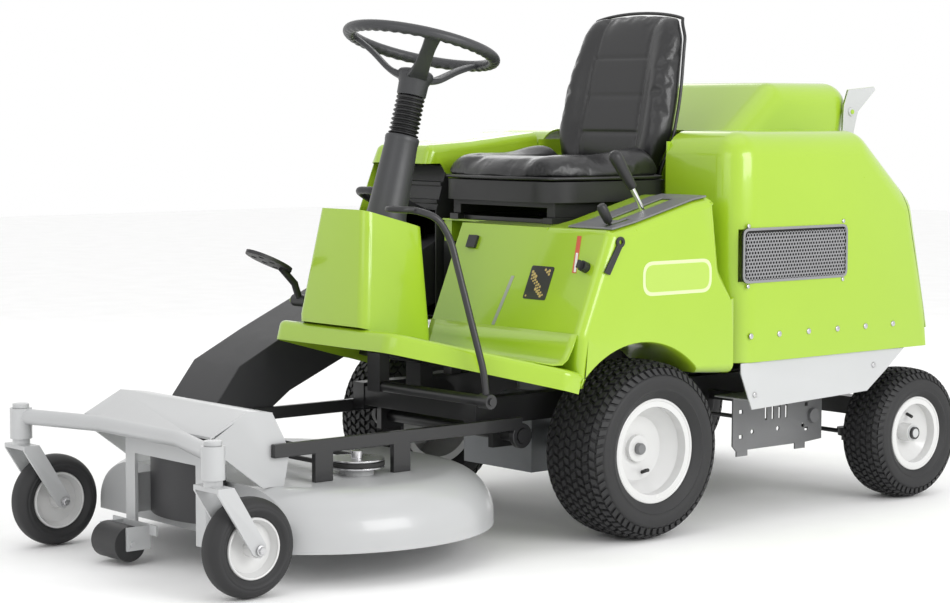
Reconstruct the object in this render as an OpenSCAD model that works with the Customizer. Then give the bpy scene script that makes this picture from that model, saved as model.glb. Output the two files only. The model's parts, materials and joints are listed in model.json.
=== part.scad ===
// Riding lawn mower with an out-front deck, a rear grass hopper and rear steering.
// X is across the machine with + to its left, Y runs to the rear, Z is up.
// The ground is z = 0, and y = 0 is halfway along the machine. Millimetres.

/* [Drive wheels] */
// Outer diameter of a front tyre
drive_tyre_d = 400; // [380:1:420]
// Width of a front tyre
drive_tyre_w = 180; // [150:1:190]
// Diameter of the front rim where the bead sits
drive_bead_d = 203; // [190:1:220]
// Distance between the middles of the front tyres
drive_track = 744; // [736:1:752]

/* [Steered wheels] */
// Distance from the drive axle to the steered axle
wheelbase = 902; // [890:1:960]
// Outer diameter of a rear tyre
steer_tyre_d = 320; // [300:1:330]
// Width of a rear tyre
steer_tyre_w = 125; // [110:1:130]
// Diameter of the rear rim where the bead sits
steer_bead_d = 152; // [140:1:165]
// Distance between the middles of the rear tyres
steer_track = 796; // [790:1:810]
// Distance between the king pins
king_track = 610; // [600:1:614]
// Length of a steering arm
arm_len = 90; // [70:1:100]

/* [Caster wheels] */
// Diameter of a caster wheel
caster_d = 200; // [180:1:210]
// Width of a caster wheel
caster_w = 60; // [50:1:64]
// Distance between the caster pivots
caster_track = 736; // [720:1:760]
// How far the caster pivots stand ahead of the drive axle
caster_reach = 1122; // [1110:1:1180]
// How far the caster axle trails its pivot
caster_trail = 80; // [60:1:90]

/* [Deck] */
// Radius of the deck shell's round ends
deck_r = 380; // [360:1:390]
// Width over the whole deck
deck_w = 936; // [928:1:980]
// Middle of the deck ahead of the drive axle
deck_reach = 665; // [655:1:680]
// Height of the deck rim above the ground
deck_rim_z = 70; // [60:1:80]
// Height of the deck shell
deck_h = 120; // [110:1:130]
// Thickness of the deck sheet
deck_t = 3; // [2:0.5:4]
// Radius swept by a blade
blade_r = 222; // [200:1:226]
// Diameter of a blade spindle
spindle_d = 25; // [20:1:30]

/* [Body] */
// Half the width of the bodywork
body_x = 450; // [440:1:456]
// Thickness of the body panels
body_t = 4; // [3:0.5:6]
// Half the width of the platform's front edge
step_x = 210; // [190:1:240]
// Height of the hood's shoulder
hood_z = 905; // [880:1:930]
// Height of the hump in the middle of the hood
hump_z = 1020; // [1000:1:1040]
// Half the width of the hump
hump_x = 200; // [180:1:230]
// Radius of the hood's rounded edges
hood_r = 70; // [40:1:80]

/* [Seat] */
// Width of the seat cushion
seat_w = 440; // [420:1:460]
// Thickness of the seat cushion
seat_h = 58; // [50:1:70]
// Width of the backrest
back_w = 360; // [340:1:380]
// Thickness of the backrest
back_t = 86; // [70:1:95]
// Length of the backrest
back_len = 400; // [380:1:420]

/* [Steering] */
// Diameter of the steering wheel
wheel_d = 360; // [340:1:380]
// Thickness of the steering wheel's rim
grip_d = 28; // [24:1:32]
// Angle at which the column leans back
column_tilt = 15; // [10:1:18]
// Diameter of the steering shaft
shaft_d = 18; // [16:1:20]

/* [Chassis] */
// Half the distance between the chassis rails' middles
rail_x = 200; // [190:1:215]
// Width of a chassis rail
rail_w = 40; // [30:1:45]
// Height of a chassis rail
rail_h = 60; // [50:1:60]
// Radius of the bolt holes in the side plates
plate_hole_r = 5.5; // [4.5:0.5:6.5]
// Spacing of the bolt holes in the side plates
plate_pitch = 90; // [70:5:95]

/* [Hidden] */

run_fit = 0.05;      // radial play of a shaft in its bore
gap = 0.3;           // space between pieces that pass each other
sheet = 4;           // thickness of chassis sheet metal
curve = 96;          // facets asked for on round pieces
bend_run = 0.4;      // how far a bar runs past its bend, in radii
ball_swell = 1.06;   // how much the ball on a lever is larger than its grip

// Lengthwise extent of the machine, from which the middle is worked out
boss_r = 24;
front_y = min(-caster_reach - boss_r, caster_trail - caster_reach - caster_d / 2);
back_y = wheelbase + steer_tyre_d / 2;
mid_y = (front_y + back_y) / 2;

drive_z = drive_tyre_d / 2;
steer_z = steer_tyre_d / 2;
deck_top_z = deck_rim_z + deck_h;
deck_cx = deck_w / 2 - deck_r;
rail_z = 260;        // underside of the chassis rails
rail_front = -330;
rail_back = wheelbase + 38;

// Deck suspension
hang_y = -235;       // cross tube that the deck swings on
hang_z = 236;
hang_r = 16;
arm_x = 262;         // middle of a deck arm
arm_in_x = 228;      // middle of the right arm, which passes beside the duct
arm_w = 14;
bar_z = 250;         // underside of the deck bars
bar_h = 28;

// Steering column
column_y = -409;
column_z = 703;
cover_len = 196;
boot_len = 92;
hub_len = 51;
dish = 66;           // height of the wheel's rim above its hub

// Seat
seat_z = 790;        // underside of the cushion
seat_front = -105;
seat_back = 262;
recline = 13;

// Bodywork side view: points are [y, z]
slope = 15.3;        // fall of the platform towards the rear
step_depth = 46;     // depth of the platform's edge
step_y = -570;
step_z = 437;
tip_y = -273;
fender_back = 244;
arch_r = 246;
arch_y = -45;
arch_z = 196;
panel_top = [-140, 692];
panel_foot = [-232, 470];

module box(x0, x1, y0, y1, z0, z1) {
    translate([x0, y0, z0]) cube([x1 - x0, y1 - y0, z1 - z0]);
}

// Straight round bar between two points, hollow if ri is given
module bar(a, b, r, ri = 0) {
    v = b - a;
    len = norm(v);
    translate(a) rotate([0, acos(v.z / len), atan2(v.y, v.x)]) difference() {
        cylinder(h = len, r = r, $fn = 48);
        if (ri > 0) translate([0, 0, -1]) cylinder(h = len + 2, r = ri, $fn = 48);
    }
}

// Bar through a list of points. Each straight runs a little past its bends
module bent_bar(points, r) {
    last = len(points) - 2;
    for (i = [0 : last]) {
        v = (points[i + 1] - points[i]) / norm(points[i + 1] - points[i]);
        bar(points[i] - v * (i > 0 ? r * bend_run : 0),
            points[i + 1] + v * (i < last ? r * bend_run : 0), r);
    }
}

// Plate across X from a side-view outline of [y, z] points
module side_slab(x0, x1) {
    translate([x0, 0, 0]) rotate([90, 0, 90]) linear_extrude(x1 - x0) children();
}

// Round piece about an X axis from a profile of [radius, x] points
module spun(x, y, z) {
    translate([x, y, z]) rotate([0, 90, 0]) rotate_extrude($fn = curve) children();
}

// Ring or disc with its axis along X
module disc_x(x0, x1, y, z, r, ri = 0) {
    bar([x0, y, z], [x1, y, z], r, ri);
}

module both_sides() {
    children();
    mirror([1, 0, 0]) children();
}

// ---------- wheels ----------

bead_lip = 17;       // height of the rim flange that holds a tyre's bead

// One side of a tyre's outline, from the bead to the middle of the tread
function tyre_half(r, bead, hw, bh) = [
    [bead, -bh], [bead + bead_lip, -bh], [bead + 0.45 * (r - bead), -hw],
    [bead + 0.72 * (r - bead), -0.98 * hw],
    [r - 0.09 * (r - bead), -0.82 * hw], [r - 0.02 * (r - bead), -0.5 * hw], [r, -0.15 * hw]];
function flip(points) = [for (i = [len(points) - 1 : -1 : 0]) [points[i].x, -points[i].y]];
function turn(points) = [for (i = [len(points) - 1 : -1 : 0]) points[i]];
function tyre_line(r, bead, hw, bh) =
    concat(tyre_half(r, bead, hw, bh), flip(tyre_half(r, bead, hw, bh)));

module tyre(x, y, d, w, bead_d, wall = 11) {
    bh = w * 0.38;
    color([0.05, 0.05, 0.05]) spun(x, y, d / 2) polygon(concat(
        tyre_line(d / 2, bead_d / 2, w / 2, bh),
        turn(tyre_line(d / 2 - wall, bead_d / 2, w / 2 - wall, bh - wall))));
}

// Pressed steel rim. side is +1 or -1 for the machine's left or right
module rim(x, y, z, side, w, bead_d, flange_d, dish_in, hub_r, hub_in, hub_out, bore_r) {
    bh = w * 0.38;
    br = bead_d / 2 - gap;
    sheet_t = 3;
    color("white") translate([x, 0, 0]) scale([side, 1, 1]) difference() {
        union() {
            spun(0, y, z) translate([br - sheet_t, -bh - gap - sheet_t])
                square([sheet_t, 2 * (bh + gap + sheet_t)]);
            for (s = [-1, 1]) spun(0, y, z)
                translate([br - sheet_t, s > 0 ? bh + gap : -bh - gap - sheet_t])
                    square([flange_d / 2 - br + sheet_t, sheet_t]);
            spun(0, y, z) polygon([[0, dish_in], [hub_r + 8, dish_in],
                [br - 26, dish_in + 6], [br - 1, bh - 22], [br - 1, bh - 18],
                [br - 29, dish_in + 10], [hub_r + 6, dish_in + 5], [0, dish_in + 5]]);
            disc_x(hub_in, hub_out, y, z, hub_r);
        }
        if (bore_r > 0) disc_x(hub_in - 1, hub_out + 1, y, z, bore_r);
    }
}

module front_tyre(side) tyre(side * drive_track / 2, 0, drive_tyre_d, drive_tyre_w, drive_bead_d);

module front_rim(side) {
    rim(side * drive_track / 2, 0, drive_z, side, drive_tyre_w, drive_bead_d,
        drive_bead_d + 29, 6, 30, 0, 22, 0);
    // live axle shaft that runs in the transaxle tube
    color("silver") disc_x(side * 150, side * (drive_track / 2 + 1), 0, drive_z, 12.5);
    color("silver") disc_x(side * (drive_track / 2 + 22), side * (drive_track / 2 + 32), 0,
        drive_z, 11);
}

module rear_tyre(side) tyre(side * steer_track / 2, wheelbase, steer_tyre_d, steer_tyre_w,
    steer_bead_d, 9);

module rear_rim(side) rim(side * steer_track / 2, wheelbase, steer_z, side, steer_tyre_w,
    steer_bead_d, steer_bead_d + 26, 4, 22, -22, 42, stub_r + run_fit);

// ---------- chassis ----------

plate_x = 320;       // outer face of the engine bay side plates
plate_front = 384;
plate_back = 700;
plate_low = 134;
plate_high = 288;
cross_y = [-310, 420, 660];
axle_tube_r = 30;

module chassis_frame() {
    color([0.07, 0.07, 0.07]) {
        both_sides() box(rail_x - rail_w / 2, rail_x + rail_w / 2, rail_front, rail_back,
            rail_z, rail_z + rail_h);
        for (y = cross_y) box(-rail_x, rail_x, y - 18, y + 18, rail_z + 8, rail_z + rail_h - 8);
        box(-rail_x, rail_x, rail_back - 110, rail_back - 88, rail_z, rail_z + rail_h);
        box(-rail_x, rail_x, rail_back - 6, rail_back, rail_z, rail_z + rail_h);
        // outriggers that carry the engine bay side plates
        both_sides() for (y = [cross_y[1], cross_y[2]])
            box(rail_x, plate_x - sheet, y - 14, y + 14, rail_z + 4, rail_z + 24);
        // hanger plates for the deck's cross tube
        both_sides() difference() {
            box(rail_x - 8, rail_x + 8, hang_y - 34, hang_y + 34, hang_z - 30, rail_z + 8);
            disc_x(rail_x - 9, rail_x + 9, hang_y, hang_z, hang_r);
        }
        disc_x(-arm_in_x - arm_w / 2 - 4, arm_x + arm_w / 2 + 4, hang_y, hang_z, hang_r);
        // spine and cross arm that carry the platform, with their drop legs
        platform_place() box(-30, 30, 20, 290, 12, step_depth - body_t - gap);
        platform_place() box(-step_x + 8, 380, 248, 272, 14, step_depth - body_t - gap);
        box(-26, 26, -328, -292, rail_z + 20, 386);
        // seat and hood supports
        both_sides() box(rail_x - 15, rail_x + 15, -60, -30, rail_z + rail_h - 1, 640);
        both_sides() box(rail_x - 15, rail_x + 15, 190, 220, rail_z + rail_h - 1, 640);
        both_sides() box(rail_x - 15, rail_x + 15, -60, 220, 620, 640);
        // arms that hold the outer skins of the fenders
        both_sides() box(rail_x, body_x - body_t - gap, 200, 214, 440, 456);
        // plates either side of the rear axle beam, joined by its pivot pin
        for (y = [beam_back + pivot_gap, beam_front - pivot_gap - sheet * 2])
            box(-44, 44, y, y + sheet * 2, pivot_z - 26, rail_z + rail_h);
        bar([0, beam_front - pivot_gap - sheet * 2, pivot_z],
            [0, beam_back + pivot_gap + sheet * 2, pivot_z], pivot_r);
        // shaft that the lift pedal turns on
        disc_x(0, 350, pedal_y, pedal_z, 12);
        box(-22, 22, pedal_y - 14, pedal_y + 14, pedal_z - 12, 412);
        disc_x(349, 390, pedal_y, pedal_z, 8);
    }
}

// Rear axle
pivot_z = 212;
pivot_r = 12;
pivot_gap = 4;
beam_front = wheelbase - 22;
beam_back = wheelbase + 22;
king_x = king_track / 2;
king_r = 11;
stub_r = 10;

module rear_axle_beam() {
    color([0.07, 0.07, 0.07]) difference() {
        union() {
            box(-king_x, king_x, beam_front, beam_back, 190, 234);
            both_sides() translate([king_x, wheelbase, 186]) cylinder(h = 52, r = 22, $fn = 48);
        }
        both_sides() translate([king_x, wheelbase, 180])
            cylinder(h = 70, r = king_r + run_fit, $fn = 48);
        bar([0, beam_front - 1, pivot_z], [0, beam_back + 1, pivot_z], pivot_r + run_fit);
    }
}

module knuckle(side) {
    arm_y = wheelbase - arm_len;
    color([0.1, 0.1, 0.1]) {
        translate([side * king_x, wheelbase, 136]) cylinder(h = 49.5, r = 20, $fn = 48);
        translate([side * king_x, wheelbase, 140]) cylinder(h = 112, r = king_r, $fn = 48);
        translate([side * king_x, wheelbase, 238.5]) cylinder(h = 12, r = 20, $fn = 48);
        disc_x(side * king_x, side * (steer_track / 2 - 23), wheelbase, steer_z, 15);
        disc_x(side * king_x, side * (steer_track / 2 + 50), wheelbase, steer_z, stub_r);
        disc_x(side * (steer_track / 2 + 43), side * (steer_track / 2 + 51), wheelbase,
            steer_z, 15);
        box(side * king_x - 11, side * king_x + 11, arm_y, wheelbase, 136, 148);
        translate([side * king_x, arm_y, 136]) cylinder(h = 12, r = 13, $fn = 48);
        translate([side * king_x, arm_y, 136]) cylinder(h = 30, r = 6, $fn = 48);
        translate([side * king_x, arm_y, 164]) cylinder(h = 4, r = 24, $fn = 48);
    }
}

module tie_rod() {
    arm_y = wheelbase - arm_len;
    color([0.1, 0.1, 0.1]) {
        both_sides() translate([king_x, arm_y, 148 + gap]) difference() {
            cylinder(h = 16 - 2 * gap, r = 22, $fn = 48);
            translate([0, 0, -1]) cylinder(h = 18, r = 16, $fn = 48);
        }
        bar([-king_x + 19, arm_y, 156], [king_x - 19, arm_y, 156], 5.5);
    }
}

module side_plates() {
    slot_w = 7;
    color([0.45, 0.46, 0.47]) both_sides() difference() {
        union() {
            side_slab(plate_x - sheet, plate_x) polygon([
                [plate_front, plate_high], [plate_front, plate_low + 26],
                [plate_front + 14, plate_low + 12], [plate_front + 14, plate_low],
                [plate_front + 52, plate_low], [plate_front + 52, plate_low + 14],
                [plate_back - 96, plate_low + 14], [plate_back - 96, plate_low],
                [plate_back - 60, plate_low], [plate_back - 60, plate_low + 14],
                [plate_back, plate_low + 18], [plate_back, plate_high]]);
            // turned-in lower flange and its foot
            box(plate_x - 40, plate_x, plate_front + 52, plate_back - 96, plate_low + 14,
                plate_low + 18);
            disc_x(plate_x - 1, plate_x + 10, plate_back - 36, 212, 17);
        }
        for (i = [0 : 3]) box(plate_x - 10, plate_x + 1, 496 + i * 24, 496 + i * 24 + slot_w,
            214, 250);
        for (y = [plate_front + 22, plate_back - 62]) for (z = [176, 236])
            box(plate_x - 10, plate_x + 1, y, y + 12, z, z + 9);
        for (i = [-1 : 1]) disc_x(plate_x - 10, plate_x + 1, plate_mid + i * plate_pitch, 190,
            plate_hole_r);
    }
}
plate_mid = (plate_front + plate_back) / 2;

module transaxle() {
    color([0.55, 0.56, 0.57]) difference() {
        union() {
            disc_x(-inner_x, inner_x, 0, drive_z, axle_tube_r);
            box(-120, 120, -75, 95, 120, 250);
            disc_x(-60, 60, 10, 250, 40);
            both_sides() box(rail_x - 22, rail_x + 22, -34, 34, drive_z, rail_z);
            translate([0, 60, 240]) cylinder(h = 60, r = 11, $fn = 48);
            translate([0, 60, 296]) cylinder(h = 20, r = 55, $fn = 48);
        }
        both_sides() disc_x(145, inner_x + 1, 0, drive_z, 12.5 + run_fit);
    }
}
inner_x = drive_track / 2 - drive_tyre_w / 2 - 6;

module engine() {
    color([0.12, 0.12, 0.13]) {
        // mounting plate across the rails
        box(-rail_x, rail_x, 400, 690, rail_z + rail_h, rail_z + rail_h + 6);
        box(-120, 120, 430, 660, rail_z + rail_h + 6, 430);
        translate([0, 545, 430]) cylinder(h = 90, r = 130, $fn = curve);
        translate([0, 545, 520]) cylinder(h = 24, r = 96, $fn = curve);
        translate([0, 545, rail_z - 60]) cylinder(h = 130, r = 12, $fn = 48);
        translate([0, 545, rail_z - 58]) cylinder(h = 22, r = 60, $fn = 48);
    }
    color([0.5, 0.5, 0.5]) {
        // cylinder with its cooling fins, and the silencer
        for (i = [0 : 5]) box(120 + i * 9, 124 + i * 9, 470, 600, 345, 425);
        box(119, 172, 500, 570, 355, 415);
        bar([60, 480, 380], [60, 404, 380], 14);
        bar([-80, 402, 380], [140, 402, 380], 32);
    }
}

module battery() color([0.15, 0.15, 0.16]) {
    box(-95, 95, 262, 362, rail_z + rail_h + 2, 500);
    box(-rail_x - 15, rail_x + 15, 260, 364, rail_z + rail_h, rail_z + rail_h + 2);
    for (x = [-70, 70]) translate([x, 285, 500]) cylinder(h = 14, r = 8, $fn = 48);
}

module fuel_tank() color([0.2, 0.2, 0.2]) {
    box(-180, 180, -10, 170, 402, 560);
    box(-rail_x + 15, rail_x - 15, -20, -10, 402, 470);
    both_sides() box(170, rail_x + 15, 40, 120, 402, 410);
    both_sides() box(rail_x - 15, rail_x + 15, 40, 120, rail_z + rail_h, 402);
    translate([0, 80, 559]) cylinder(h = 32, r = 34, $fn = 48);
}

// ---------- deck ----------

deck_y = -deck_reach;
wall_y = -930;       // flat front wall of the deck
shoulder = min(100, deck_h - 10);
blade_x = 228;

// Dome of the deck, taken in by inset, down to the height low
module deck_solid(inset, low) {
    r = deck_r - inset;
    top = deck_top_z - inset;
    s = shoulder - inset;
    module half_section() {
        difference() {
            translate([0, low]) square([r, top - low]);
            difference() {
                translate([r - s, top - s]) square([s + 1, s + 1]);
                translate([r - s, top - s]) circle(r = s, $fn = curve);
            }
        }
    }
    for (s2 = [-1, 1]) translate([s2 * deck_cx, deck_y, 0]) rotate_extrude($fn = curve)
        half_section();
    translate([-deck_cx, deck_y, 0]) rotate([90, 0, 90]) linear_extrude(2 * deck_cx) {
        half_section();
        mirror([1, 0]) half_section();
    }
}

module deck_shell() {
    color([0.66, 0.67, 0.68]) difference() {
        union() {
            difference() {
                deck_solid(0, deck_rim_z);
                deck_solid(deck_t, deck_rim_z - 10);
                box(-500, 500, -1200, wall_y, 0, 400);
            }
            // front wall, cut to the shell's own section
            intersection() {
                deck_solid(0, deck_rim_z);
                box(-500, 500, wall_y, wall_y + deck_t, 0, 400);
            }
            // rolled lip along the rim
            difference() {
                for (s = [-1, 1]) translate([s * deck_cx, deck_y, deck_rim_z])
                    cylinder(h = 7, r = deck_r, $fn = curve);
                for (s = [-1, 1]) translate([s * deck_cx, deck_y, deck_rim_z - 1])
                    cylinder(h = 9, r = deck_r - 9, $fn = curve);
                box(-deck_cx, deck_cx, -1200, 0, 0, 400);
                box(-500, 500, -1200, wall_y, 0, 400);
            }
            // spindle housings
            both_sides() translate([blade_x, deck_y, deck_top_z - 50])
                cylinder(h = 64, r = 36, $fn = 48);
        }
        both_sides() translate([blade_x, deck_y, deck_rim_z])
            cylinder(h = 200, r = spindle_d / 2 + run_fit, $fn = 48);
        // mouth under the grass duct
        box(duct_x0 + duct_t, duct_foot_x - duct_t, duct_mouth_y0 + duct_t,
            duct_mouth_y1 - duct_t, deck_top_z - 60, deck_top_z + 9);
    }
}

module deck_frame() {
    post_w = 46;
    for (x = arm_sides) {
        // bar from the front bracket to its ring on the cross tube
        color([0.07, 0.07, 0.07]) difference() {
            union() {
                box(x - arm_w / 2, x + arm_w / 2, -905, hang_y, bar_z, bar_z + bar_h);
                disc_x(x - arm_w / 2, x + arm_w / 2, hang_y, hang_z, 28);
            }
            disc_x(x - arm_w, x + arm_w, hang_y, hang_z, hang_r + run_fit);
        }
        // sheet metal posts that stand on the shell and hold the bar
        color([0.66, 0.67, 0.68]) for (y = post_ys)
            box(x - arm_w / 2, x + arm_w / 2, y - post_w / 2, y + post_w / 2, deck_top_z, bar_z);
    }
}
arm_sides = [-arm_in_x, arm_x];
post_ys = [-780, -575];

module front_beam() {
    mid = 150;
    beam_z = 290;
    beam_y = -1052;
    post_y = -caster_reach;
    cheek = 6;           // thickness of the bracket's side plates
    color([0.66, 0.67, 0.68]) {
        difference() {
            union() {
                bent_bar([[-caster_track / 2, post_y, beam_z], [-mid, beam_y, beam_z],
                    [mid, beam_y, beam_z], [caster_track / 2, post_y, beam_z]], 17);
                both_sides() translate([caster_track / 2, post_y, post_low])
                    cylinder(h = post_len, r = boss_r, $fn = 48);
            }
            both_sides() translate([caster_track / 2, post_y, post_low - 1])
                cylinder(h = post_len + 2, r = stem_r + run_fit, $fn = 48);
        }
        // folded bracket from the beam back to the deck bars
        for (x = [-arm_in_x + arm_w / 2, arm_x - arm_w / 2 - cheek]) side_slab(x, x + cheek)
            polygon([[beam_y + 10, beam_z - 14], [beam_y + 10, beam_z + 10], [-960, 348],
            [-900, 340], [-858, 262], [-872, deck_top_z], [-925, deck_top_z]]);
        side_slab(-arm_in_x + arm_w / 2, arm_x - arm_w / 2) polygon([
            [beam_y, beam_z + 10], [beam_y, beam_z + 15], [-962, 350], [-900, 342],
            [-900, 337], [-960, 345]]);
    }
}
post_low = 242;
post_len = 66;
stem_r = 12;

module front_arch() {
    // flat-bar arch that guards the front of the deck
    color([0.66, 0.67, 0.68]) {
        for (x = [arch_x0, arch_x1 - 36]) box(x, x + 36, arch_front, arch_front + 8, 62, 262);
        box(arch_x0, arch_x1, arch_front, arch_front + 8, 228, 270);
        for (x = [arch_x0 + 4, arch_x1 - 12]) box(x, x + 8, arch_front + 4, wall_y, 96, 180);
        for (x = [-90, 0, 90]) box(x - 8, x + 8, arch_front, arch_front + 6, 268, 322);
        // arm out to the roller, and the pin that the roller turns on
        box(-190, -20, arch_front - 4, arch_front, 62, 84);
        for (x = [-154, -52]) box(x, x + 6, roller_y - 12, arch_front, 32, 82);
        disc_x(-158, -42, roller_y, roller_z, roller_pin_r);
    }
}
arch_front = -1000;
arch_x0 = -142;
arch_x1 = 160;
roller_y = -1046;
roller_z = 46;
roller_pin_r = 6;

module front_cover() {
    // curved black guard behind the arch, in front of the deck wall
    mid = (arch_x0 + arch_x1) / 2;
    color([0.04, 0.04, 0.04]) intersection() {
        translate([mid, -750, 100]) difference() {
            cylinder(h = 128, r = 240, $fn = curve);
            translate([0, 0, -1]) cylinder(h = 130, r = 236, $fn = curve);
        }
        box(arch_x0 + 12, arch_x1 - 12, arch_front + 8, wall_y, 90, 240);
    }
}

module scalp_roller() {
    color([0.03, 0.03, 0.03]) difference() {
        disc_x(-147.5, -52.5, roller_y, roller_z, 38);
        disc_x(-150, -50, roller_y, roller_z, roller_pin_r + run_fit);
    }
}

module caster_fork(side) {
    x = side * caster_track / 2;
    py = -caster_reach;
    ay = py + caster_trail;
    az = caster_d / 2;
    cheek_x = caster_w / 2 + 7;
    color([0.66, 0.67, 0.68]) {
        translate([x, py, post_low - 14]) cylinder(h = post_len + 24, r = stem_r, $fn = 48);
        translate([x, py, post_low - 14]) cylinder(h = 13.5, r = 19, $fn = 48);
        translate([x, py, post_low + post_len + 0.5]) cylinder(h = 9, r = 18, $fn = 48);
        box(x - cheek_x - 6, x + cheek_x + 6, py - 17, py + 20, post_low - 22, post_low - 13);
        for (s = [-1, 1]) side_slab(x + s * (cheek_x + 3) - 3, x + s * (cheek_x + 3) + 3)
            polygon([[py - 17, post_low - 13], [py - 17, post_low - 24], [ay - 16, az - 8],
                [ay, az - 16], [ay + 14, az - 6], [ay + 14, az + 10], [py + 20, post_low - 13]]);
        disc_x(x - cheek_x - 12, x + cheek_x + 12, ay, az, 6);
    }
}

module caster_tyre(side) {
    x = side * caster_track / 2;
    w = caster_w / 2;
    r = caster_d / 2;
    color([0.05, 0.05, 0.05]) spun(x, caster_trail - caster_reach, r) polygon([
        [caster_rim_r + gap, -w + 8], [r - 26, -w], [r - 10, -w + 3], [r, -w + 15], [r, w - 15],
        [r - 10, w - 3], [r - 26, w], [caster_rim_r + gap, w - 8]]);
}
caster_rim_r = 62;

module caster_rim(side) {
    x = side * caster_track / 2;
    w = caster_w / 2 - 8;
    hub = caster_w / 2 + 4;
    r = caster_rim_r;
    color("white") difference() {
        spun(x, caster_trail - caster_reach, caster_d / 2) polygon([[0, -hub], [17, -hub],
            [17, -6], [r - 12, -5], [r - 4, -w], [r, -w], [r, w], [r - 4, w], [r - 12, 5],
            [17, 6], [17, hub], [0, hub]]);
        disc_x(x - 60, x + 60, caster_trail - caster_reach, caster_d / 2, 6 + run_fit);
    }
}

module blade(side) {
    x = side * blade_x;
    low = deck_rim_z + 14;
    color([0.3, 0.3, 0.31]) {
        translate([x, deck_y, low]) cylinder(h = deck_top_z + 50 - low, r = spindle_d / 2,
            $fn = 48);
        translate([x, deck_y, deck_top_z + 14.5]) difference() {
            cylinder(h = 20, r = 58, $fn = curve);
            translate([0, 0, 4]) difference() {
                cylinder(h = 12, r = 59, $fn = curve);
                cylinder(h = 12, r = 50, $fn = curve);
            }
        }
        translate([x, deck_y, low - 6]) cylinder(h = 6, r = 16, $fn = 48);
        intersection() {
            translate([x, deck_y, low]) cylinder(h = 6, r = blade_r, $fn = curve);
            box(x - 30, x + 30, deck_y - 300, deck_y + 300, low, low + 6);
        }
    }
}

belt_r = 51;

module drive_belt() {
    z = deck_top_z + 14.5 + 5;
    color([0.04, 0.04, 0.04]) difference() {
        union() {
            for (y = [-belt_r - 8, belt_r]) box(-blade_x, blade_x, deck_y + y, deck_y + y + 8,
                z, z + 9);
            for (s = [-1, 1]) translate([s * blade_x, deck_y, z]) difference() {
                cylinder(h = 9, r = belt_r + 8, $fn = curve);
                translate([0, 0, -1]) cylinder(h = 11, r = belt_r, $fn = curve);
                translate([-s * 60, 0, 5]) cube([120, 130, 20], center = true);
            }
        }
    }
}

// ---------- grass duct ----------

duct_x0 = -420;
duct_x1 = -236;
duct_foot_x = -300;  // near wall of the narrow foot that clears the right pulley
duct_foot_z = 240;
duct_t = 4;
duct_mouth_y0 = -745;
duct_mouth_y1 = -600;
duct_end_y = -30;

// Side view of the duct, taken in by t all round, with its ends left open
function duct_line(t) = let (o = t > 0 ? 1 : 0) [
    [duct_mouth_y0 + t, deck_top_z - o], [-700 + t, 300 - t], [-640, 376 - t],
    [-510, 440 - t], [-306, 530 - t], [duct_end_y + o, 655 - t], [duct_end_y + o, 505 + t],
    [-340, 378 + t], [-500, 310 + t], [duct_mouth_y1 - t, duct_foot_z + t],
    [duct_mouth_y1 - t, deck_top_z - o]];

module duct_body(t) {
    side_slab(duct_x0 + t, duct_foot_x - t) polygon(duct_line(t));
    intersection() {
        side_slab(duct_x0 + t, duct_x1 - t) polygon(duct_line(t));
        box(-600, 0, -900, 200, duct_foot_z + t, 900);
    }
}

module grass_duct() {
    color([0.09, 0.09, 0.1]) difference() {
        duct_body(0);
        duct_body(duct_t);
    }
}

head_x0 = duct_x0 - 16;
head_x1 = duct_x1 + 10;
head_front = -75;
head_sill = 456;      // low front edge of the head, clear of the duct when the deck lifts
head_back = 249.7;

// Side view of the duct head, taken in by t
function head_line(t) = let (o = t > 0 ? 1 : 0) [
    [head_front - o, head_sill + t], [head_front - o, 712 - t], [-41, 819 - t],
    [head_back + o, 822 - t], [head_back + o, 640 + t], [120, 600 + t], [-10, 466 + t]];

module duct_head() {
    // transfer box that leads the grass from the duct into the hopper
    color([0.09, 0.09, 0.1]) {
        difference() {
            side_slab(head_x0, head_x1) polygon(head_line(0));
            side_slab(head_x0 + 4, head_x1 - 4) polygon(head_line(4));
        }
        // hooded front above the mouth, with two ribs
        for (z = [728, 770]) box(head_x0, head_x1, -82 + (z - 700) * 0.3, -60 + (z - 700) * 0.3,
            z, z + 10);
    }
}

module duct_handle() {
    x0 = -390;
    x1 = -270;
    color([0.05, 0.05, 0.05]) bent_bar([[x0, -64, 700], [x0, -160, 742], [x0 + 24, -205, 760],
        [x1 - 24, -205, 760], [x1, -160, 742], [x1, -64, 700]], 9);
}

// ---------- bodywork ----------

module platform_place() {
    translate([0, step_y, step_z]) rotate([-slope, 0, 0]) children();
}

module platform() {
    length = (tip_y - step_y) / cos(slope);
    rear = length + 120;
    module plan(t) polygon([[-step_x + t, t], [step_x - t, t], [body_x - t, length],
        [body_x - t, rear - t], [-step_x + t, rear - t]]);
    color([0.5, 0.78, 0.1]) difference() {
        platform_place() difference() {
            linear_extrude(step_depth) plan(0);
            translate([0, 0, -body_t]) linear_extrude(step_depth) plan(body_t);
        }
        box(-600, 600, panel_foot.x - gap, 600, 0, 800);
        side_slab(drive_track / 2 - drive_tyre_w / 2 - 12, 600)
            translate([arch_y, arch_z]) circle(r = arch_r, $fn = curve);
    }
}

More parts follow.
